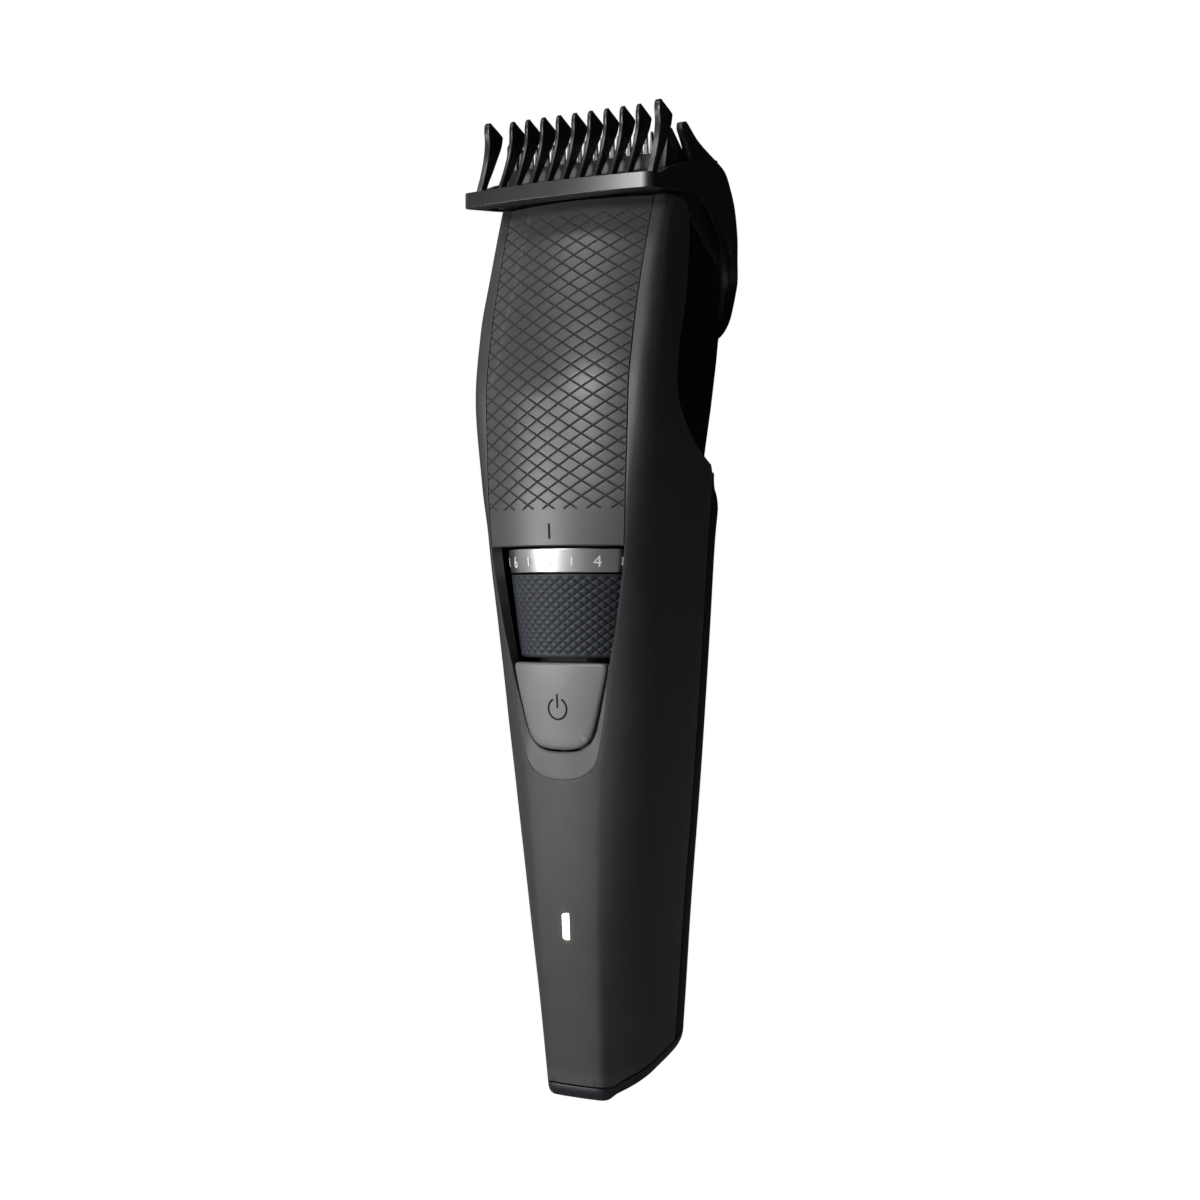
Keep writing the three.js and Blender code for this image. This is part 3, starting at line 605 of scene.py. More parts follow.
def cover_point(climb, across):
    """A point of the cover, by the share of the way up and the share of the way to the back."""
    start_y = COVER_SEAM_Y + SEAM
    x, y = 0.0, start_y
    for _ in range(4):
        low = underside_at(y)[0] + CAP_TO_SHELL
        z = low + climb * (cover_top_at(y)[0] - low)
        x, y = spread(cut_between(side_section(z), start_y, 90), [across])[0]
    rise = max(0.0, (z - SHOULDER_Z) / SHOULDER_TALL)
    shoulder = SHOULDER_DEEP * rise ** 2 * smoothstep((y - start_y) / 5)
    pull = 1 - shoulder / math.hypot(x, y - WIDEST_Y)
    return (x * pull, WIDEST_Y + (y - WIDEST_Y) * pull, z)


def rear_cover():
    rows = [[cover_point(r / COVER_ROWS, c / COVER_COLUMNS) for c in range(COVER_COLUMNS + 1)]
            for r in range(COVER_ROWS + 1)]
    cover = to_metres(mirrored(sheet(rows)), "rear_cover_moulding")
    bevel(solidify(cover, WALL), 0.2, 2, 50)
    return as_piece(cover, COVER, "cover_black", "housing", "rear_cover", angle=40)


# ------------------------------------------------------------------ base cap
INLET_HALF = 3.4
INLET_Y = (-3.5, 1.1)
INLET_ROUND = 1.2
CAP_COLUMNS = 72
CAP_CENTRE_Y = 3.0


def base_cap():
    # how far in from the outline, and how high above the underside
    profile = [(0.0, CAP_THICKNESS), (0.0, 1.5), (0.1, 0.95), (0.35, 0.5), (0.75, 0.17), (1.3, 0.0)]

    def outline_point(k, z):
        corner = body_at(z)[1] - corner_round(z)
        arc = [(corner * i / 8, front_at(corner * i / 8, z)) for i in range(8)]
        half = np.vstack([arc, side_section(z)])
        return spread(half, [k / CAP_COLUMNS])[0]

    def ring(inward, height):
        points = []
        for k in range(CAP_COLUMNS + 1):
            x, y = outline_point(k, 2)
            for _ in range(4):
                z = underside_at(y)[0] + height
                x, y = outline_point(k, z)
            pull = 1 - inward / math.hypot(x, y - CAP_CENTRE_Y)
            x, y = x * pull, CAP_CENTRE_Y + (y - CAP_CENTRE_Y) * pull
            points.append((x, y, underside_at(y)[0] + height))
        return points

    def shrunk(points, share, height):
        """The ring drawn in toward the middle, at a height above the underside."""
        ys = [CAP_CENTRE_Y + (y - CAP_CENTRE_Y) * share for _, y, _ in points]
        return [(p[0] * share, y, underside_at(y)[0] + height) for p, y in zip(points, ys)]

    rings = [ring(*step) for step in profile]
    below = [shrunk(rings[-1], share, 0.0) for share in (0.85, 0.7, 0.5, 0.3, 0.12, 0.0)]
    above = [shrunk(rings[0], share, CAP_THICKNESS) for share in (0.0, 0.3, 0.6, 0.85)]
    bm = mirrored(sheet(above + rings + below, flip=True))
    bmesh.ops.recalc_face_normals(bm, faces=bm.faces[:])
    cap = to_metres(bm, "base_cap_moulding")
    hole = round_rect(INLET_HALF, *INLET_Y, INLET_ROUND, INLET_ROUND, 8)
    combine(cap, to_metres(prism(hole, along_z, -4, 9), "inlet_cutter"), "DIFFERENCE")
    bevel(cap, 0.15, 2, 60)
    return as_piece(cap, CAP, "cap_black", "housing", "base_cap", angle=40)


# ------------------------------------------------------------------ front panel
PANEL_BOTTOM_Z = 93.4
PANEL_TOP_Z = 151.9
PANEL_THICKNESS = 1.1
LATTICE = {"wide": 4.2, "tall": 2.57, "z": 109.3, "first": -8, "last": 31}
GROOVE_DEPTH = 0.2
GROOVE_HALF = 0.19
CELL_STEPS = 12
EDGE_ROUND = 0.25
PANEL_HALF = 14.5
MARK_Z = (94.65, 97.2)
MARK_WIDTH = 0.34


def groove(x, s, wide, tall, half_width):
    """How deep into its nearest V groove a point of a diamond lattice lies, from 0 to 1."""
    across = 1 / math.hypot(1 / wide, 1 / tall)
    nearest = 1.0
    for value in (x / wide + s / tall, x / wide - s / tall):
        off = abs(value - 0.5 - round(value - 0.5)) * across
        nearest = min(nearest, off / half_width)
    return max(0.0, 1 - nearest)


def stops(low, high, step):
    """The whole multiples of a step between two values, and the two values."""
    between = [k * step for k in range(math.ceil(low / step), int(high / step) + 1)]
    return sorted({round(v, 5) for v in [low, *between, high]})


def climb_table():
    """Length along the panel's middle line for each height."""
    heights = np.linspace(PANEL_BOTTOM_Z - 1, PANEL_TOP_Z + 1, 400)
    fronts = np.array([body_at(z)[0] for z in heights])
    length = np.concatenate([[0], np.cumsum(np.hypot(np.diff(heights), np.diff(fronts)))])
    return heights, length - np.interp(LATTICE["z"], heights, length)


def crossed_sheet(us, vs, point_at, skip=None, wrap=False):
    """A grid whose cells are split in four by their diagonals, so slanting creases stay crisp."""
    bm = bmesh.new()
    verts = [[bm.verts.new(point_at(u, v)) for u in us] for v in vs]
    columns = len(us)
    for r in range(len(vs) - 1):
        for c in range(columns if wrap else columns - 1):
            if skip and skip(us[c], us[c + 1], vs[r], vs[r + 1]):
                continue
            d = (c + 1) % columns
            u_next = us[d] if d else us[0] + (us[1] - us[0]) * columns
            ring = [verts[r][c], verts[r][d], verts[r + 1][d], verts[r + 1][c]]
            middle = bm.verts.new(point_at((us[c] + u_next) / 2, (vs[r] + vs[r + 1]) / 2))
            for k in range(4):
                bm.faces.new([ring[k], ring[(k + 1) % 4], middle])
    return bm


def add_rim(bm, outward, steps):
    """Carries the open edge round and back, by steps of (outwards, inwards), then closes it."""
    edges = [e for e in bm.edges if e.is_boundary]
    ring = {v: v for e in edges for v in e.verts}
    start = {v: v.co.copy() for v in ring}
    heading = {v: outward(v.co) for v in ring}
    for out, deep in steps:
        inward = Vector((0, deep, 0))
        new_ring = {v: bm.verts.new(start[v] + heading[v] * out + inward) for v in ring}
        for e in edges:
            a, b = e.verts
            bm.faces.new([ring[a], ring[b], new_ring[b], new_ring[a]])
        ring = new_ring
    back = [bm.edges.get((ring[e.verts[0]], ring[e.verts[1]])) for e in edges]
    bmesh.ops.triangle_fill(bm, use_beauty=True, edges=back, normal=(0, 1, 0))
    bmesh.ops.recalc_face_normals(bm, faces=bm.faces[:])


def front_panel():
    heights, climbs = climb_table()
    step_x = LATTICE["wide"] / CELL_STEPS
    step_s = LATTICE["tall"] / CELL_STEPS
    count = math.ceil(PANEL_HALF / step_x)
    us = [i * step_x for i in range(-count, count + 1)]
    low, high = (float(np.interp(z, heights, climbs))
                 for z in (PANEL_BOTTOM_Z + EDGE_ROUND, PANEL_TOP_Z - EDGE_ROUND))
    vs = stops(low, high, step_s)
    half_tall = LATTICE["tall"] / 2

    def half_at(z):
        return opening_at(z)[0] - SEAM - EDGE_ROUND

    def height_of(s):
        return float(np.interp(s, climbs, heights))

    def lattice_depth(x, s):
        phase = abs((x / LATTICE["wide"]) - round(x / LATTICE["wide"])) * 2
        bottom = (LATTICE["first"] + phase) * half_tall
        top = (LATTICE["last"] + phase) * half_tall
        if s < bottom - GROOVE_HALF or s > top + GROOVE_HALF:
            return 0.0
        return GROOVE_DEPTH * groove(x, s, LATTICE["wide"], LATTICE["tall"], GROOVE_HALF)

    def point_at(x, s):
        z = height_of(s)
        half = half_at(z)
        x = min(max(x, -half), half)
        return (x, front_at(x, z) + lattice_depth(x, s), z)

    def skip(u0, u1, v0, v1):
        inner = min(abs(u0), abs(u1))
        return inner >= max(half_at(height_of(v0)), half_at(height_of(v1)))

    bm = crossed_sheet(us, vs, point_at, skip)
    bmesh.ops.remove_doubles(bm, verts=bm.verts[:], dist=0.002)

    def outward(co):
        heading = Vector((0, 0, 0))
        if abs(co.x) >= half_at(co.z) - 0.01:
            heading.x = math.copysign(1, co.x)
        if co.z < PANEL_BOTTOM_Z + EDGE_ROUND + 0.01:
            heading.z = -1
        if co.z > PANEL_TOP_Z - EDGE_ROUND - 0.01:
            heading.z = 1
        return heading

    add_rim(bm, outward, [(0.10, 0.02), (0.18, 0.07), (0.23, 0.15), (EDGE_ROUND, 0.26),
                          (EDGE_ROUND, PANEL_THICKNESS)])
    panel = to_metres(bm, "lattice_panel")
    as_piece(panel, PANEL, "panel_grey", "housing", "front_panel", angle=28)

    def laid(x, z):
        return (x, front_at(x, z) - 0.02, z)

    # the indicator line is engraved; this dark strip is painted shade standing in for the shade in its
    # groove
    mark = ribbon([(0, z) for z in MARK_Z], MARK_WIDTH, laid, "panel_mark")
    as_piece(mark, PAINTED_GROOVE_SHADE, "panel_grey", "housing")
    return panel


# ------------------------------------------------------------------ marks laid on a surface
RIBBON_DEPTH = 0.05


def ribbon(path, width, on_surface, name):
    """A thin raised stroke along a path drawn in two coordinates, laid on a surface."""
    points = [np.array(p, float) for p in path]
    rows = []
    for i, p in enumerate(points):
        before = points[max(i - 1, 0)]
        after = points[min(i + 1, len(points) - 1)]
        ahead = (after - before) / np.linalg.norm(after - before)
        side = np.array([-ahead[1], ahead[0]]) * width / 2
        left = Vector(on_surface(*(p + side)))
        right = Vector(on_surface(*(p - side)))
        middle = Vector(on_surface(*p))
        along = Vector(on_surface(*(p + ahead * 0.01))) - middle
        down = along.cross(left - right).normalized() * RIBBON_DEPTH
        rows.append((left, right, right + down, left + down))
    bm = sheet(rows, wrap=True)
    bm.verts.ensure_lookup_table()
    bm.faces.new(bm.verts[:4])
    bm.faces.new(bm.verts[-4:])
    bmesh.ops.remove_doubles(bm, verts=bm.verts[:], dist=1e-4)
    bmesh.ops.recalc_face_normals(bm, faces=bm.faces[:])
    return to_metres(bm, name)


# ------------------------------------------------------------------ button and its scoop
BUTTON_GAP = 0.36
ICON_Z = 66.3
SCOOP_DEPTH = 0.6
ICON_R = 1.78
ICON_GAP = math.radians(28)
ICON_WIDTH = 0.3
BUTTON_HALF_WIDTH = 9.3
BUTTON_BOTTOM_Z = 59.4
BUTTON_MIDDLE_Z = 67.6
BUTTON_PROUD = 0.1
BUTTON_LEAN = 0.25
LEAN_Z = 66.0
BEZEL_TOP_Z = 73.8
BEZEL_THICKNESS = 1.3


def shield(grow, count):
    """Half outline of the button, from the top corner to the bottom middle."""
    points = [(BUTTON_HALF_WIDTH, BUTTON_TOP_Z), (8.87, 71.7), (7.88, 67.7), (6.8, 63.7), (6.42, 62.6),
              (5.95, 61.6), (5.15, 60.6), (3.9, 59.85), (2.0, 59.47), (0, BUTTON_BOTTOM_Z)]
    line = np.array(through(points, 8))
    ahead = np.gradient(line, axis=0)
    side = np.stack([-ahead[:, 1], ahead[:, 0]], axis=1)
    side /= np.linalg.norm(side, axis=1)[:, None]
    line = line + side * grow
    line[-1][0] = 0.0
    return spread(line, np.linspace(0, 1, count + 1))


def button_bezel():
    """The scoop round the button: flush at its outer edge, deepest beside the button."""
    columns, steps = 56, 10
    flush = 0.02
    inner = shield(BUTTON_GAP, columns)
    inner = np.array([(x, min(z, BEZEL_TOP_Z)) for x, z in inner])
    heights = [BEZEL_TOP_Z, 72, 70, 68, 66, 64, 62, 60.5, 59, 58, 57.2, 56.6, 56, 55.4, 54.9,
               54.6, 54.4, 54.3]
    edge = [(opening_at(z)[0] - 0.02, z) for z in heights]
    edge.append((0.0, OPENING_BOTTOM_Z + 0.03))
    outer = spread(edge, np.linspace(0, 1, columns + 1))
    rows = []
    for k in range(columns + 1):
        row = []
        deepest = min(SCOOP_DEPTH, 0.04 + 0.12 * np.linalg.norm(outer[k] - inner[k]))
        for j in range(steps + 1):
            t = j / steps
            x, z = inner[k] + (outer[k] - inner[k]) * t
            row.append((x, front_at(x, z) + flush + (deepest - flush) * (1 - t), z))
        rows.append(row)
    bezel = to_metres(mirrored(sheet(rows, flip=True)), "button_scoop")
    bevel(solidify(bezel, BEZEL_THICKNESS), 0.12, 2, 50)
    return as_piece(bezel, BEZEL, "shell_black", "housing", "button_bezel", angle=40)


def button_front(x, z):
    """The button stands a little proud, and its upper part leans back."""
    lean = BUTTON_LEAN * max(0.0, (z - LEAN_Z) / (BUTTON_TOP_Z - LEAN_Z)) ** 2
    return front_at(x, z) - BUTTON_PROUD + lean


def power_button():
    columns = 60
    half = shield(0, columns)
    centre = np.array([0.0, BUTTON_MIDDLE_Z])
    # share of the way out from the middle, and depth below the button's face
    profile = [(0.0, 0), (0.2, 0), (0.4, 0), (0.6, 0), (0.8, 0), (0.92, 0), (0.955, 0.02),
               (0.98, 0.09), (0.994, 0.2), (1.0, 0.36), (1.0, 1.2)]
    top = [(BUTTON_HALF_WIDTH * k / 12, BUTTON_TOP_Z) for k in range(12)]
    half = np.vstack([top, half])

    def corner_eased(x, z):
        """Rounds the two top corners."""
        fade = smoothstep((z - 73.1) / 0.9) * smoothstep((abs(x) - 8.2) / 0.95)
        return x - math.copysign(0.28, x) * fade, z - 0.2 * fade

    rows = []
    for share, deep in profile:
        row = []
        for p in half:
            x, z = centre + (p - centre) * share
            x, z = corner_eased(x, z)
            row.append((x, button_front(x, z) + deep, z))
        rows.append(row)
    closed = 0.001
    rows.append([(x * closed, y, BUTTON_MIDDLE_Z + (z - BUTTON_MIDDLE_Z) * closed)
                 for x, y, z in rows[-1]])
    bm = mirrored(sheet(rows))
    bmesh.ops.recalc_face_normals(bm, faces=bm.faces[:])
    button = to_metres(bm, "power_button_cap")
    as_piece(button, BUTTON, "button_grey", "button", "power_button", angle=40)

    def laid(x, z):
        return (x, button_front(x, z) - 0.015, z)

    # the power symbol's dark strips are painted shade standing in for the shade in its engraved lines
    turns = np.linspace(math.pi / 2 + ICON_GAP, math.pi / 2 + 2 * math.pi - ICON_GAP, 40)
    arc = [(ICON_R * math.cos(t), ICON_Z + ICON_R * math.sin(t)) for t in turns]
    as_piece(ribbon(arc, ICON_WIDTH, laid, "power_mark_ring"), PAINTED_GROOVE_SHADE, "button_grey", "button")
    bar = [(0, ICON_Z + 0.1), (0, ICON_Z + 1.2), (0, ICON_Z + 2.45)]
    as_piece(ribbon(bar, ICON_WIDTH, laid, "power_mark_bar"), PAINTED_GROOVE_SHADE, "button_grey", "button")
    return button


# ------------------------------------------------------------------ zoom wheel
WHEEL_BOTTOM_Z = 74.8
RING_BOTTOM_Z = 88.9
WHEEL_TOP_Z = 93.0
WHEEL_BOTTOM_R = 12.6
WHEEL_TOP_R = 14.7
WHEEL_BORE_R = 9.8
KNURLS = 42
KNURL_TALL = 1.48
KNURL_DEPTH = 0.2
KNURL_HALF = 0.27
KNURL_MEAN_R = 13.5
KNURL_STEPS = 6


def wheel_radius(z):
    share = (z - WHEEL_BOTTOM_Z) / (WHEEL_TOP_Z - WHEEL_BOTTOM_Z)
    return WHEEL_BOTTOM_R + (WHEEL_TOP_R - WHEEL_BOTTOM_R) * share


def on_wheel(angle, z, lift=0.0):
    radius = wheel_radius(z) + lift
    return (radius * math.sin(angle), WHEEL_Y - radius * math.cos(angle), z)


def zoom_wheel_grip():
    columns = KNURLS * KNURL_STEPS
    us = [2 * math.pi * k / columns for k in range(columns)]
    low, high = WHEEL_BOTTOM_Z + 0.45, RING_BOTTOM_Z - SEAM - 0.2
    step_z = KNURL_TALL / KNURL_STEPS
    vs = stops(low, high, step_z)
    wide = 2 * math.pi * KNURL_MEAN_R / KNURLS

    def point_at(u, v):
        edge = smoothstep((v - low) / 0.3) * smoothstep((high - v) / 0.3)
        deep = KNURL_DEPTH * groove(u * KNURL_MEAN_R, v, wide, KNURL_TALL, KNURL_HALF) * edge
        return on_wheel(u, v, -deep)

    bm = crossed_sheet(us, vs, point_at, wrap=True)
    rim = [e for e in bm.edges if e.is_boundary]

    def close(level, steps_out):
        edges = [e for e in rim if abs(e.verts[0].co.z - level) < 0.01]
        ring = {v: v for e in edges for v in e.verts}
        axis = Vector((0, WHEEL_Y, 0))
        for radius, z in steps_out:
            def moved(v):
                flat = Vector((v.co.x, v.co.y, 0)) - axis
                return axis + flat.normalized() * radius + Vector((0, 0, z))
            new_ring = {v: bm.verts.new(moved(v)) for v in ring}
            for e in edges:
                a, b = e.verts
                bm.faces.new([ring[a], ring[b], new_ring[b], new_ring[a]])
            ring = new_ring

    bottom, top = WHEEL_BOTTOM_Z, RING_BOTTOM_Z - SEAM
    middle = (bottom + top) / 2
    close(low, [(WHEEL_BOTTOM_R - 0.15, bottom + 0.15), (WHEEL_BOTTOM_R - 0.5, bottom),
                (WHEEL_BORE_R, bottom), (WHEEL_BORE_R, middle)])
    close(high, [(wheel_radius(top) - 0.06, top - 0.06), (wheel_radius(top) - 0.2, top),
                 (WHEEL_BORE_R, top), (WHEEL_BORE_R, middle)])
    bmesh.ops.remove_doubles(bm, verts=bm.verts[:], dist=1e-3)
    bmesh.ops.recalc_face_normals(bm, faces=bm.faces[:])
    grip = to_metres(bm, "knurled_grip")
    return as_piece(grip, RUBBER, "grip_rubber", "wheel", "zoom_wheel_grip", angle=50)


def number_ring():
    bottom, top = RING_BOTTOM_Z + SEAM, WHEEL_TOP_Z
    r0, r1 = wheel_radius(bottom), wheel_radius(top)
    ring = to_metres(lathe([
        (WHEEL_BORE_R, bottom), (r0 - 0.12, bottom), (r0 - 0.03, bottom + 0.04),
        (r0, bottom + 0.13), (r1 - 0.01, top - 0.14), (r1 - 0.04, top - 0.05), (r1 - 0.14, top),
        (WHEEL_BORE_R, top),
    ], WHEEL_Y, 168), "number_band")
    as_piece(ring, RING, "ring_metal", "wheel", "number_ring", angle=35)


DIGIT_TALL = 1.9
DIGIT_Z = 89.9
DIGIT_WIDEN = 1.12
# height of a numeral as a share of the font's size
CAP_SHARE = 0.69
NUMBER_AT_REST = 5
TICK_Z = (90.15, 91.6)
TICK_WIDTH = 0.33
TURN_PER_STEP = 360 / 10.5


def dial_marks():
    """The steps 1 to 10 and the half steps between them, laid round the ring."""
    for n in range(1, 11):
        centre = math.radians(-(n - NUMBER_AT_REST) * TURN_PER_STEP)
        text = bpy.data.curves.new(f"digit_{n}", "FONT")
        text.body = str(n)
        text.align_x = "CENTER"
        text.size = DIGIT_TALL / CAP_SHARE
        text.extrude = 0.03
        text.resolution_u = 5
        holder = bpy.data.objects.new(f"digit_source_{n}", text)
        bpy.context.scene.collection.objects.link(holder)
        graph = bpy.context.evaluated_depsgraph_get()
        mesh = bpy.data.meshes.new_from_object(holder.evaluated_get(graph))
        bpy.data.objects.remove(holder)
        bm = bmesh.new()
        bm.from_mesh(mesh)
        bmesh.ops.remove_doubles(bm, verts=bm.verts[:], dist=1e-4)
        for v in bm.verts:
            z = DIGIT_Z + v.co.y
            angle = centre + v.co.x * DIGIT_WIDEN / wheel_radius(z)
            v.co = Vector(on_wheel(angle, z, v.co.z))
        digit = to_metres(bm, f"dial_number_{n}")
        as_piece(digit, WHITE, "ring_metal", "wheel")
        half_turn = centre - math.radians(TURN_PER_STEP / 2)

        def on_ring(x, z, at=half_turn):
            return on_wheel(at + x / wheel_radius(z), z, 0.03)

        tick = ribbon([(0, z) for z in TICK_Z], TICK_WIDTH, on_ring, f"dial_half_step_{n}")
        as_piece(tick, WHITE, "ring_metal", "wheel")


# ------------------------------------------------------------------ charge light
WINDOW_GAP = 0.15
WINDOW_HALF = 0.85
WINDOW_ROUND = 0.55
WINDOW_SUNK = 0.02
WINDOW_DEPTH = 2.2


def light_guide():
    half, corner = WINDOW_HALF, WINDOW_ROUND
    low, high = LAMP_HOLE[0] + WINDOW_GAP, LAMP_HOLE[1] - WINDOW_GAP
    outline = []
    for cx, cz, start in ((half - corner, low + corner, -90), (half - corner, high - corner, 0),
                          (-half + corner, high - corner, 90), (-half + corner, low + corner, 180)):
        for k in range(7):
            a = math.radians(start + 15 * k)
            outline.append((cx + corner * math.cos(a), cz + corner * math.sin(a)))
    front_y = front_at(0, (low + high) / 2)
    bm = prism(outline, along_y, front_y - 0.1, front_y + WINDOW_DEPTH)
    for v in bm.verts:
        if v.co.y < front_y:
            v.co.y = front_at(v.co.x, v.co.z) + WINDOW_SUNK
    guide = to_metres(bm, "light_window")
    bevel(guide, 0.12, 3, 60)
    return as_piece(guide, LAMP, "lamp", "housing", "light_guide", angle=50)


# ------------------------------------------------------------------ comb
COMB_HALF = 18.8
COMB_WALL = 1.3
ARM_TAPER_Y = 1.0
ARM_END_Y = 9.5
BAND_BOTTOM = 151.4
BAND_TOP = 154.2
FIN_PITCH = 3.17
FIN_THICKNESS = 0.8
OUTER_FIN_X = 17.05
OUTER_FIN_THICKNESS = 1.2
OUTER_FIN_LEAN = 0.115
BAND_FRONT_Y = -15.7
BAND_BACK_Y = -10.4
HOOD_FRONT_Y = -6
HOOD_ROUND = (2, 8)
HOOD_ROW = 0.8
HOOD_BOTTOM_Z = 130.6
CUT_HALF = 30

hood_at = smooth_rows([
    [129, 11.7, 23.2], [130.6, 12.5, 24.8], [132, 13.2, 26.3], [135, 14.1, 27.4], [140, 15.2, 27.5],
    [145, 16.1, 26.1], [149, 17.0, 24.3], [154, 17.6, 21.9], [158, 17.8, 19.2], [166, 17.8, 15.4],
    [168, 17.8, 14.4],
])


def hood_solid(inset, low, high, name):
    """The hood's closed form between two heights, drawn in by an inset."""
    heights = np.arange(low, high, HOOD_ROW)
    in_front, behind = HOOD_ROUND
    rings = []
    for z in heights:
        half, back = hood_at(z)
        rings.append(round_rect(half - inset, HOOD_FRONT_Y + inset, back - inset,
                                in_front, behind - inset, 16))
    return to_metres(loft(rings, heights), name)


def comb_hood():
    lower = through([(22.0, HOOD_BOTTOM_Z), (22.8, 134.2), (22.9, 139.6), (19.6, 142.8), (15.2, 146.9),
                     (10.6, 150.4), (7.5, 152.2), (4.5, 153.9), (2.2, 156.0), (0.6, 158.5),
                     (-0.9, 161.2), (-2.3, 163.2)], 5)
    tip = through([(-2.3, 163.2), (-2.2, 164.2), (-1.4, 164.6), (-0.5, 164.2), (3.2, 161.9),
                   (9.9, 159.5), (13.4, 158.1), (16.1, 156.3), (19.4, 153.4)], 5)
    outline = [tuple(p) for p in lower[:-1] + tip] + [(40, 152.8), (40, HOOD_BOTTOM_Z)]
    hood = hood_solid(0, HOOD_BOTTOM_Z, 166.01, "comb_hood")
    combine(hood, hood_solid(COMB_WALL, 129, 168, "hood_hollow"), "DIFFERENCE")
    limits = to_metres(prism(outline, across_x, -CUT_HALF, CUT_HALF), "hood_limits")
    return combine(hood, limits, "INTERSECT")


def comb_band():
    """The band across the front and its two arms, cut to height by their side outline."""
    def swept(half, middle_y, sweep, count):
        return [(x, middle_y + sweep * (x / COMB_HALF) ** 2) for x in np.linspace(-half, half, count)]

    front = swept(COMB_HALF - 1.0, BAND_FRONT_Y, 1.5, 33)
    corner = [(COMB_HALF - 0.32, -14.0), (COMB_HALF, -13.2)]
    arm = [(COMB_HALF, ARM_TAPER_Y), (COMB_HALF - 0.9, ARM_END_Y), (COMB_HALF - 1.9, ARM_END_Y),
           (COMB_HALF - 1.05, ARM_TAPER_Y), (COMB_HALF - 1.05, -8.8), (COMB_HALF - 3.2, -9.8)]
    back = swept(COMB_HALF - 5.2, BAND_BACK_Y, 0.4, 17)[::-1]
    left = [(-x, y) for x, y in reversed(corner + arm)]
    plan = prism(front + corner + arm + back + left, along_z, 150, 162)
    region = [(-18, BAND_BOTTOM), (-12.6, BAND_BOTTOM + 0.2), (-5.1, 152.4), (4.7, 153.6),
              (ARM_END_Y + 1, 154.4), (ARM_END_Y + 1, 160.0), (5.2, 159.5), (1.6, 158.7),
              (-5.1, 156.9), (-8.9, 155.5), (-11.6, BAND_TOP), (-18, BAND_TOP - 0.2)]
    band = to_metres(plan, "comb_band")
    limits = to_metres(prism(region, across_x, -CUT_HALF, CUT_HALF), "band_limits")
    combine(band, limits, "INTERSECT")
    return bevel(band, 0.22, 2, 35)


FIN_FOOT_Z = 152.6
FIN_BACK = [(-10.9, FIN_FOOT_Z), (-10.7, 154.6), (-9.8, 156.3), (-8.2, 158.5), (-6.6, 160.9),
            (-5.2, 163.0), (-4.5, 164.8)]
FIN_TOP = [(-4.5, 164.8), (-4.8, 165.3), (-7.4, 166.6), (-8.0, 166.9), (-8.5, 166.4)]
FIN_FRONT = [(-8.5, 166.4), (-8.7, 165.3), (-8.75, 163.2), (-9.5, 160.4), (-10.8, 157.4),
             (-12.4, 154.3), (-12.9, FIN_FOOT_Z)]


def comb_fin(x, thickness, upright, name):
    """One fin. An upright one leans back less than the rest."""
    outline = []
    for run in (FIN_BACK, FIN_TOP, FIN_FRONT):
        outline += [tuple(p) for p in through(run, 4)[:-1]]
    outline.append(FIN_FRONT[-1])
    if upright:
        outline = [(y + 0.4 - (z - 153.2) * OUTER_FIN_LEAN, z) for y, z in outline]
    fin = to_metres(prism(outline, across_x, x - thickness / 2, x + thickness / 2), name)
    return bevel(fin, 0.24, 3, 50)


def attachment_comb():
    comb = comb_hood()
    bevel(comb, 0.25, 2, 50)
    combine(comb, comb_band(), "UNION")
    for i in range(-4, 5):
        combine(comb, comb_fin(i * FIN_PITCH, FIN_THICKNESS, False, "fin"), "UNION")
    for side in (-1, 1):
        combine(comb, comb_fin(side * OUTER_FIN_X, OUTER_FIN_THICKNESS, True, "fin"), "UNION")
    comb.name = "guide_comb"
    return as_piece(comb, COMB, "comb_black", "comb", "attachment_comb", angle=40)


# ------------------------------------------------------------------ CAD shapes with softened edges
def softened(node, body, slot, material, width):
    """A copy of a CAD node's own shape, with its edges broken and its round faces smooth."""
    source = frame["nodes"][node]
    bm = bmesh.new()
    bm.from_mesh(source.data)
    bmesh.ops.remove_doubles(bm, verts=bm.verts[:], dist=1e-6)
    level = math.radians(1.0)
    bmesh.ops.dissolve_limit(bm, angle_limit=level, verts=bm.verts[:], edges=bm.edges[:])
    mesh = bpy.data.meshes.new(node + "_soft")
    bm.to_mesh(mesh)
    bm.free()
    obj = bpy.data.objects.new(node + "_soft", mesh)
    bpy.context.scene.collection.objects.link(obj)
    bevel(obj, width, 2, 50)
    return as_piece(obj, material, slot, body, node, angle=40)


# ------------------------------------------------------------------ stage, light and camera
AZIMUTH = math.radians(31.9)
CAMERA_DISTANCE = 0.3655
CAMERA_HEIGHT = 0.0848
FOCAL = 63.6
SENSOR = 36.0
FRAME_WIDE = 1200
FRAME_LIFT = 2
FLOOR_TONE = 0.55
AMBIENT = 0.004
LIGHT_TARGET_Z = 0.1


def glow_to_camera(tree, dark):
    """White where the camera looks straight at it, and another surface to every other ray."""
    kind = "ShaderNodeBackground" if dark.type == "BACKGROUND" else "ShaderNodeEmission"
    white = tree.nodes.new(kind)
    white.inputs["Color"].default_value = (1, 1, 1, 1)
    white.inputs["Strength"].default_value = 1.0
    path = tree.nodes.new("ShaderNodeLightPath")
    mix = tree.nodes.new("ShaderNodeMixShader")
    tree.links.new(path.outputs["Is Camera Ray"], mix.inputs["Fac"])
    tree.links.new(dark.outputs[0], mix.inputs[1])
    tree.links.new(white.outputs[0], mix.inputs[2])
    return mix.outputs[0]


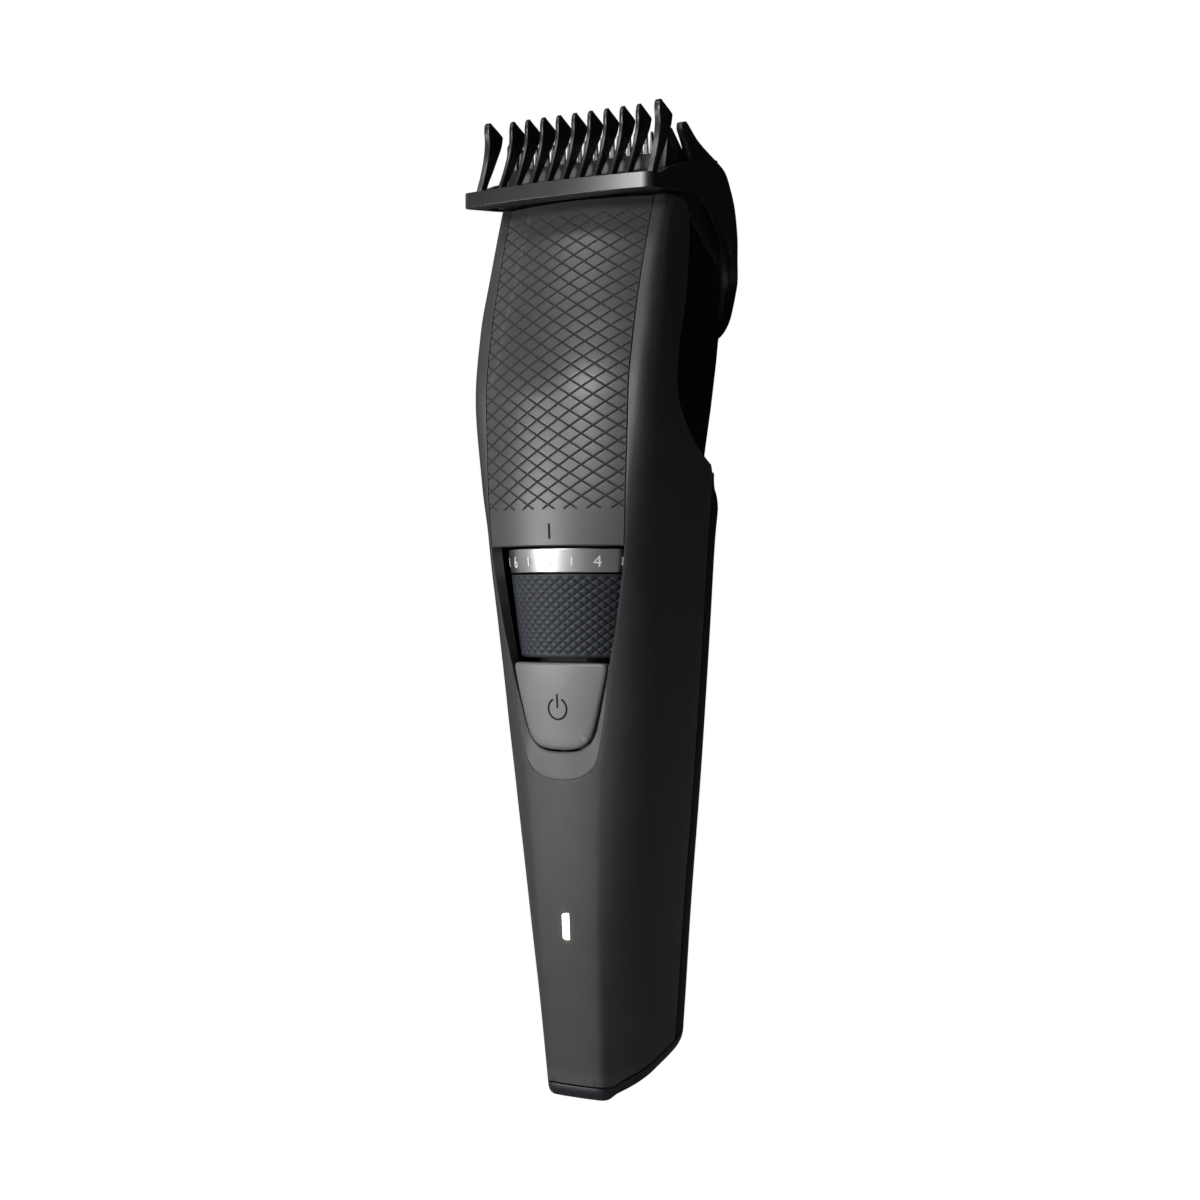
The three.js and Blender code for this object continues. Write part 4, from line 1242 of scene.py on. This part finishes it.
def studio():
    scene = bpy.context.scene
    scene.view_settings.view_transform = "Standard"
    world = bpy.data.worlds.new("studio")
    world.use_nodes = True
    scene.world = world
    tree = world.node_tree
    ambient = tree.nodes["Background"]
    ambient.inputs["Color"].default_value = (1, 1, 1, 1)
    ambient.inputs["Strength"].default_value = AMBIENT
    tree.links.new(glow_to_camera(tree, ambient), tree.nodes["World Output"].inputs["Surface"])

    bpy.ops.mesh.primitive_circle_add(vertices=96, radius=1.2, fill_type="NGON", location=(0, 0, 0))
    floor = bpy.context.object
    floor.name = "floor"
    pale = bpy.data.materials.new("pale_floor")
    pale.use_nodes = True
    tree = pale.node_tree
    shader = tree.nodes["Principled BSDF"]
    shader.inputs["Base Color"].default_value = (FLOOR_TONE, FLOOR_TONE, FLOOR_TONE, 1)
    shader.inputs["Roughness"].default_value = 0.9
    shader.inputs["Specular IOR Level"].default_value = 0.0
    out = tree.nodes["Material Output"]
    tree.links.new(glow_to_camera(tree, shader), out.inputs["Surface"])
    floor.data.materials.append(pale)


def softbox(name, azimuth, elevation, distance, width, height, power):
    """An area light, placed by where it stands as seen from the object."""
    data = bpy.data.lights.new(name, "AREA")
    data.shape = "RECTANGLE"
    data.size, data.size_y = width, height
    data.energy = power
    light = bpy.data.objects.new(name, data)
    bpy.context.scene.collection.objects.link(light)
    a, e = math.radians(azimuth), math.radians(elevation)
    target = Vector((0, 0, LIGHT_TARGET_Z))
    away = Vector((math.sin(a) * math.cos(e), -math.cos(a) * math.cos(e), math.sin(e)))
    light.location = target + away * distance
    light.rotation_euler = away.to_track_quat("Z", "Y").to_euler()


def lights():
    softbox("key", -36, -2.5, 0.9, 0.36, 0.12, 3.3)
    softbox("front_upper", -12, 13, 1.2, 0.18, 0.22, 6.0)
    softbox("left_wall", -80, 10, 1.1, 0.5, 1.2, 1.2)
    softbox("top", -32, 44, 1.0, 0.4, 0.2, 1.9)
    softbox("rear", 215, 45, 1.1, 0.8, 0.8, 1.4)
    softbox("right_fill", 110, 32, 1.4, 0.8, 0.8, 0.7)


def camera():
    data = bpy.data.cameras.new("camera")
    data.lens = FOCAL
    data.sensor_width = SENSOR
    data.shift_y = -FRAME_LIFT / FRAME_WIDE
    data.clip_start = 0.01
    obj = bpy.data.objects.new("camera", data)
    bpy.context.scene.collection.objects.link(obj)
    centre = Vector((0, SHIFT_Y * MM, CAMERA_HEIGHT))
    obj.location = centre + Vector((math.sin(AZIMUTH), -math.cos(AZIMUTH), 0)) * CAMERA_DISTANCE
    obj.rotation_euler = (math.pi / 2, 0, AZIMUTH)
    bpy.context.scene.camera = obj


camera()
studio()
lights()
finish_cad_nodes()
main_shell()
rear_cover()
base_cap()
front_panel()
button_bezel()
power_button()
zoom_wheel_grip()
number_ring()
dial_marks()
light_guide()
attachment_comb()
softened("neck_frame", "housing", "neck_black", NECK, 0.3)
softened("cutter_frame", "housing", "comb_black", COMB, 0.25)
softened("comb_carriage", "carriage", "neck_black", NECK, 0.2)
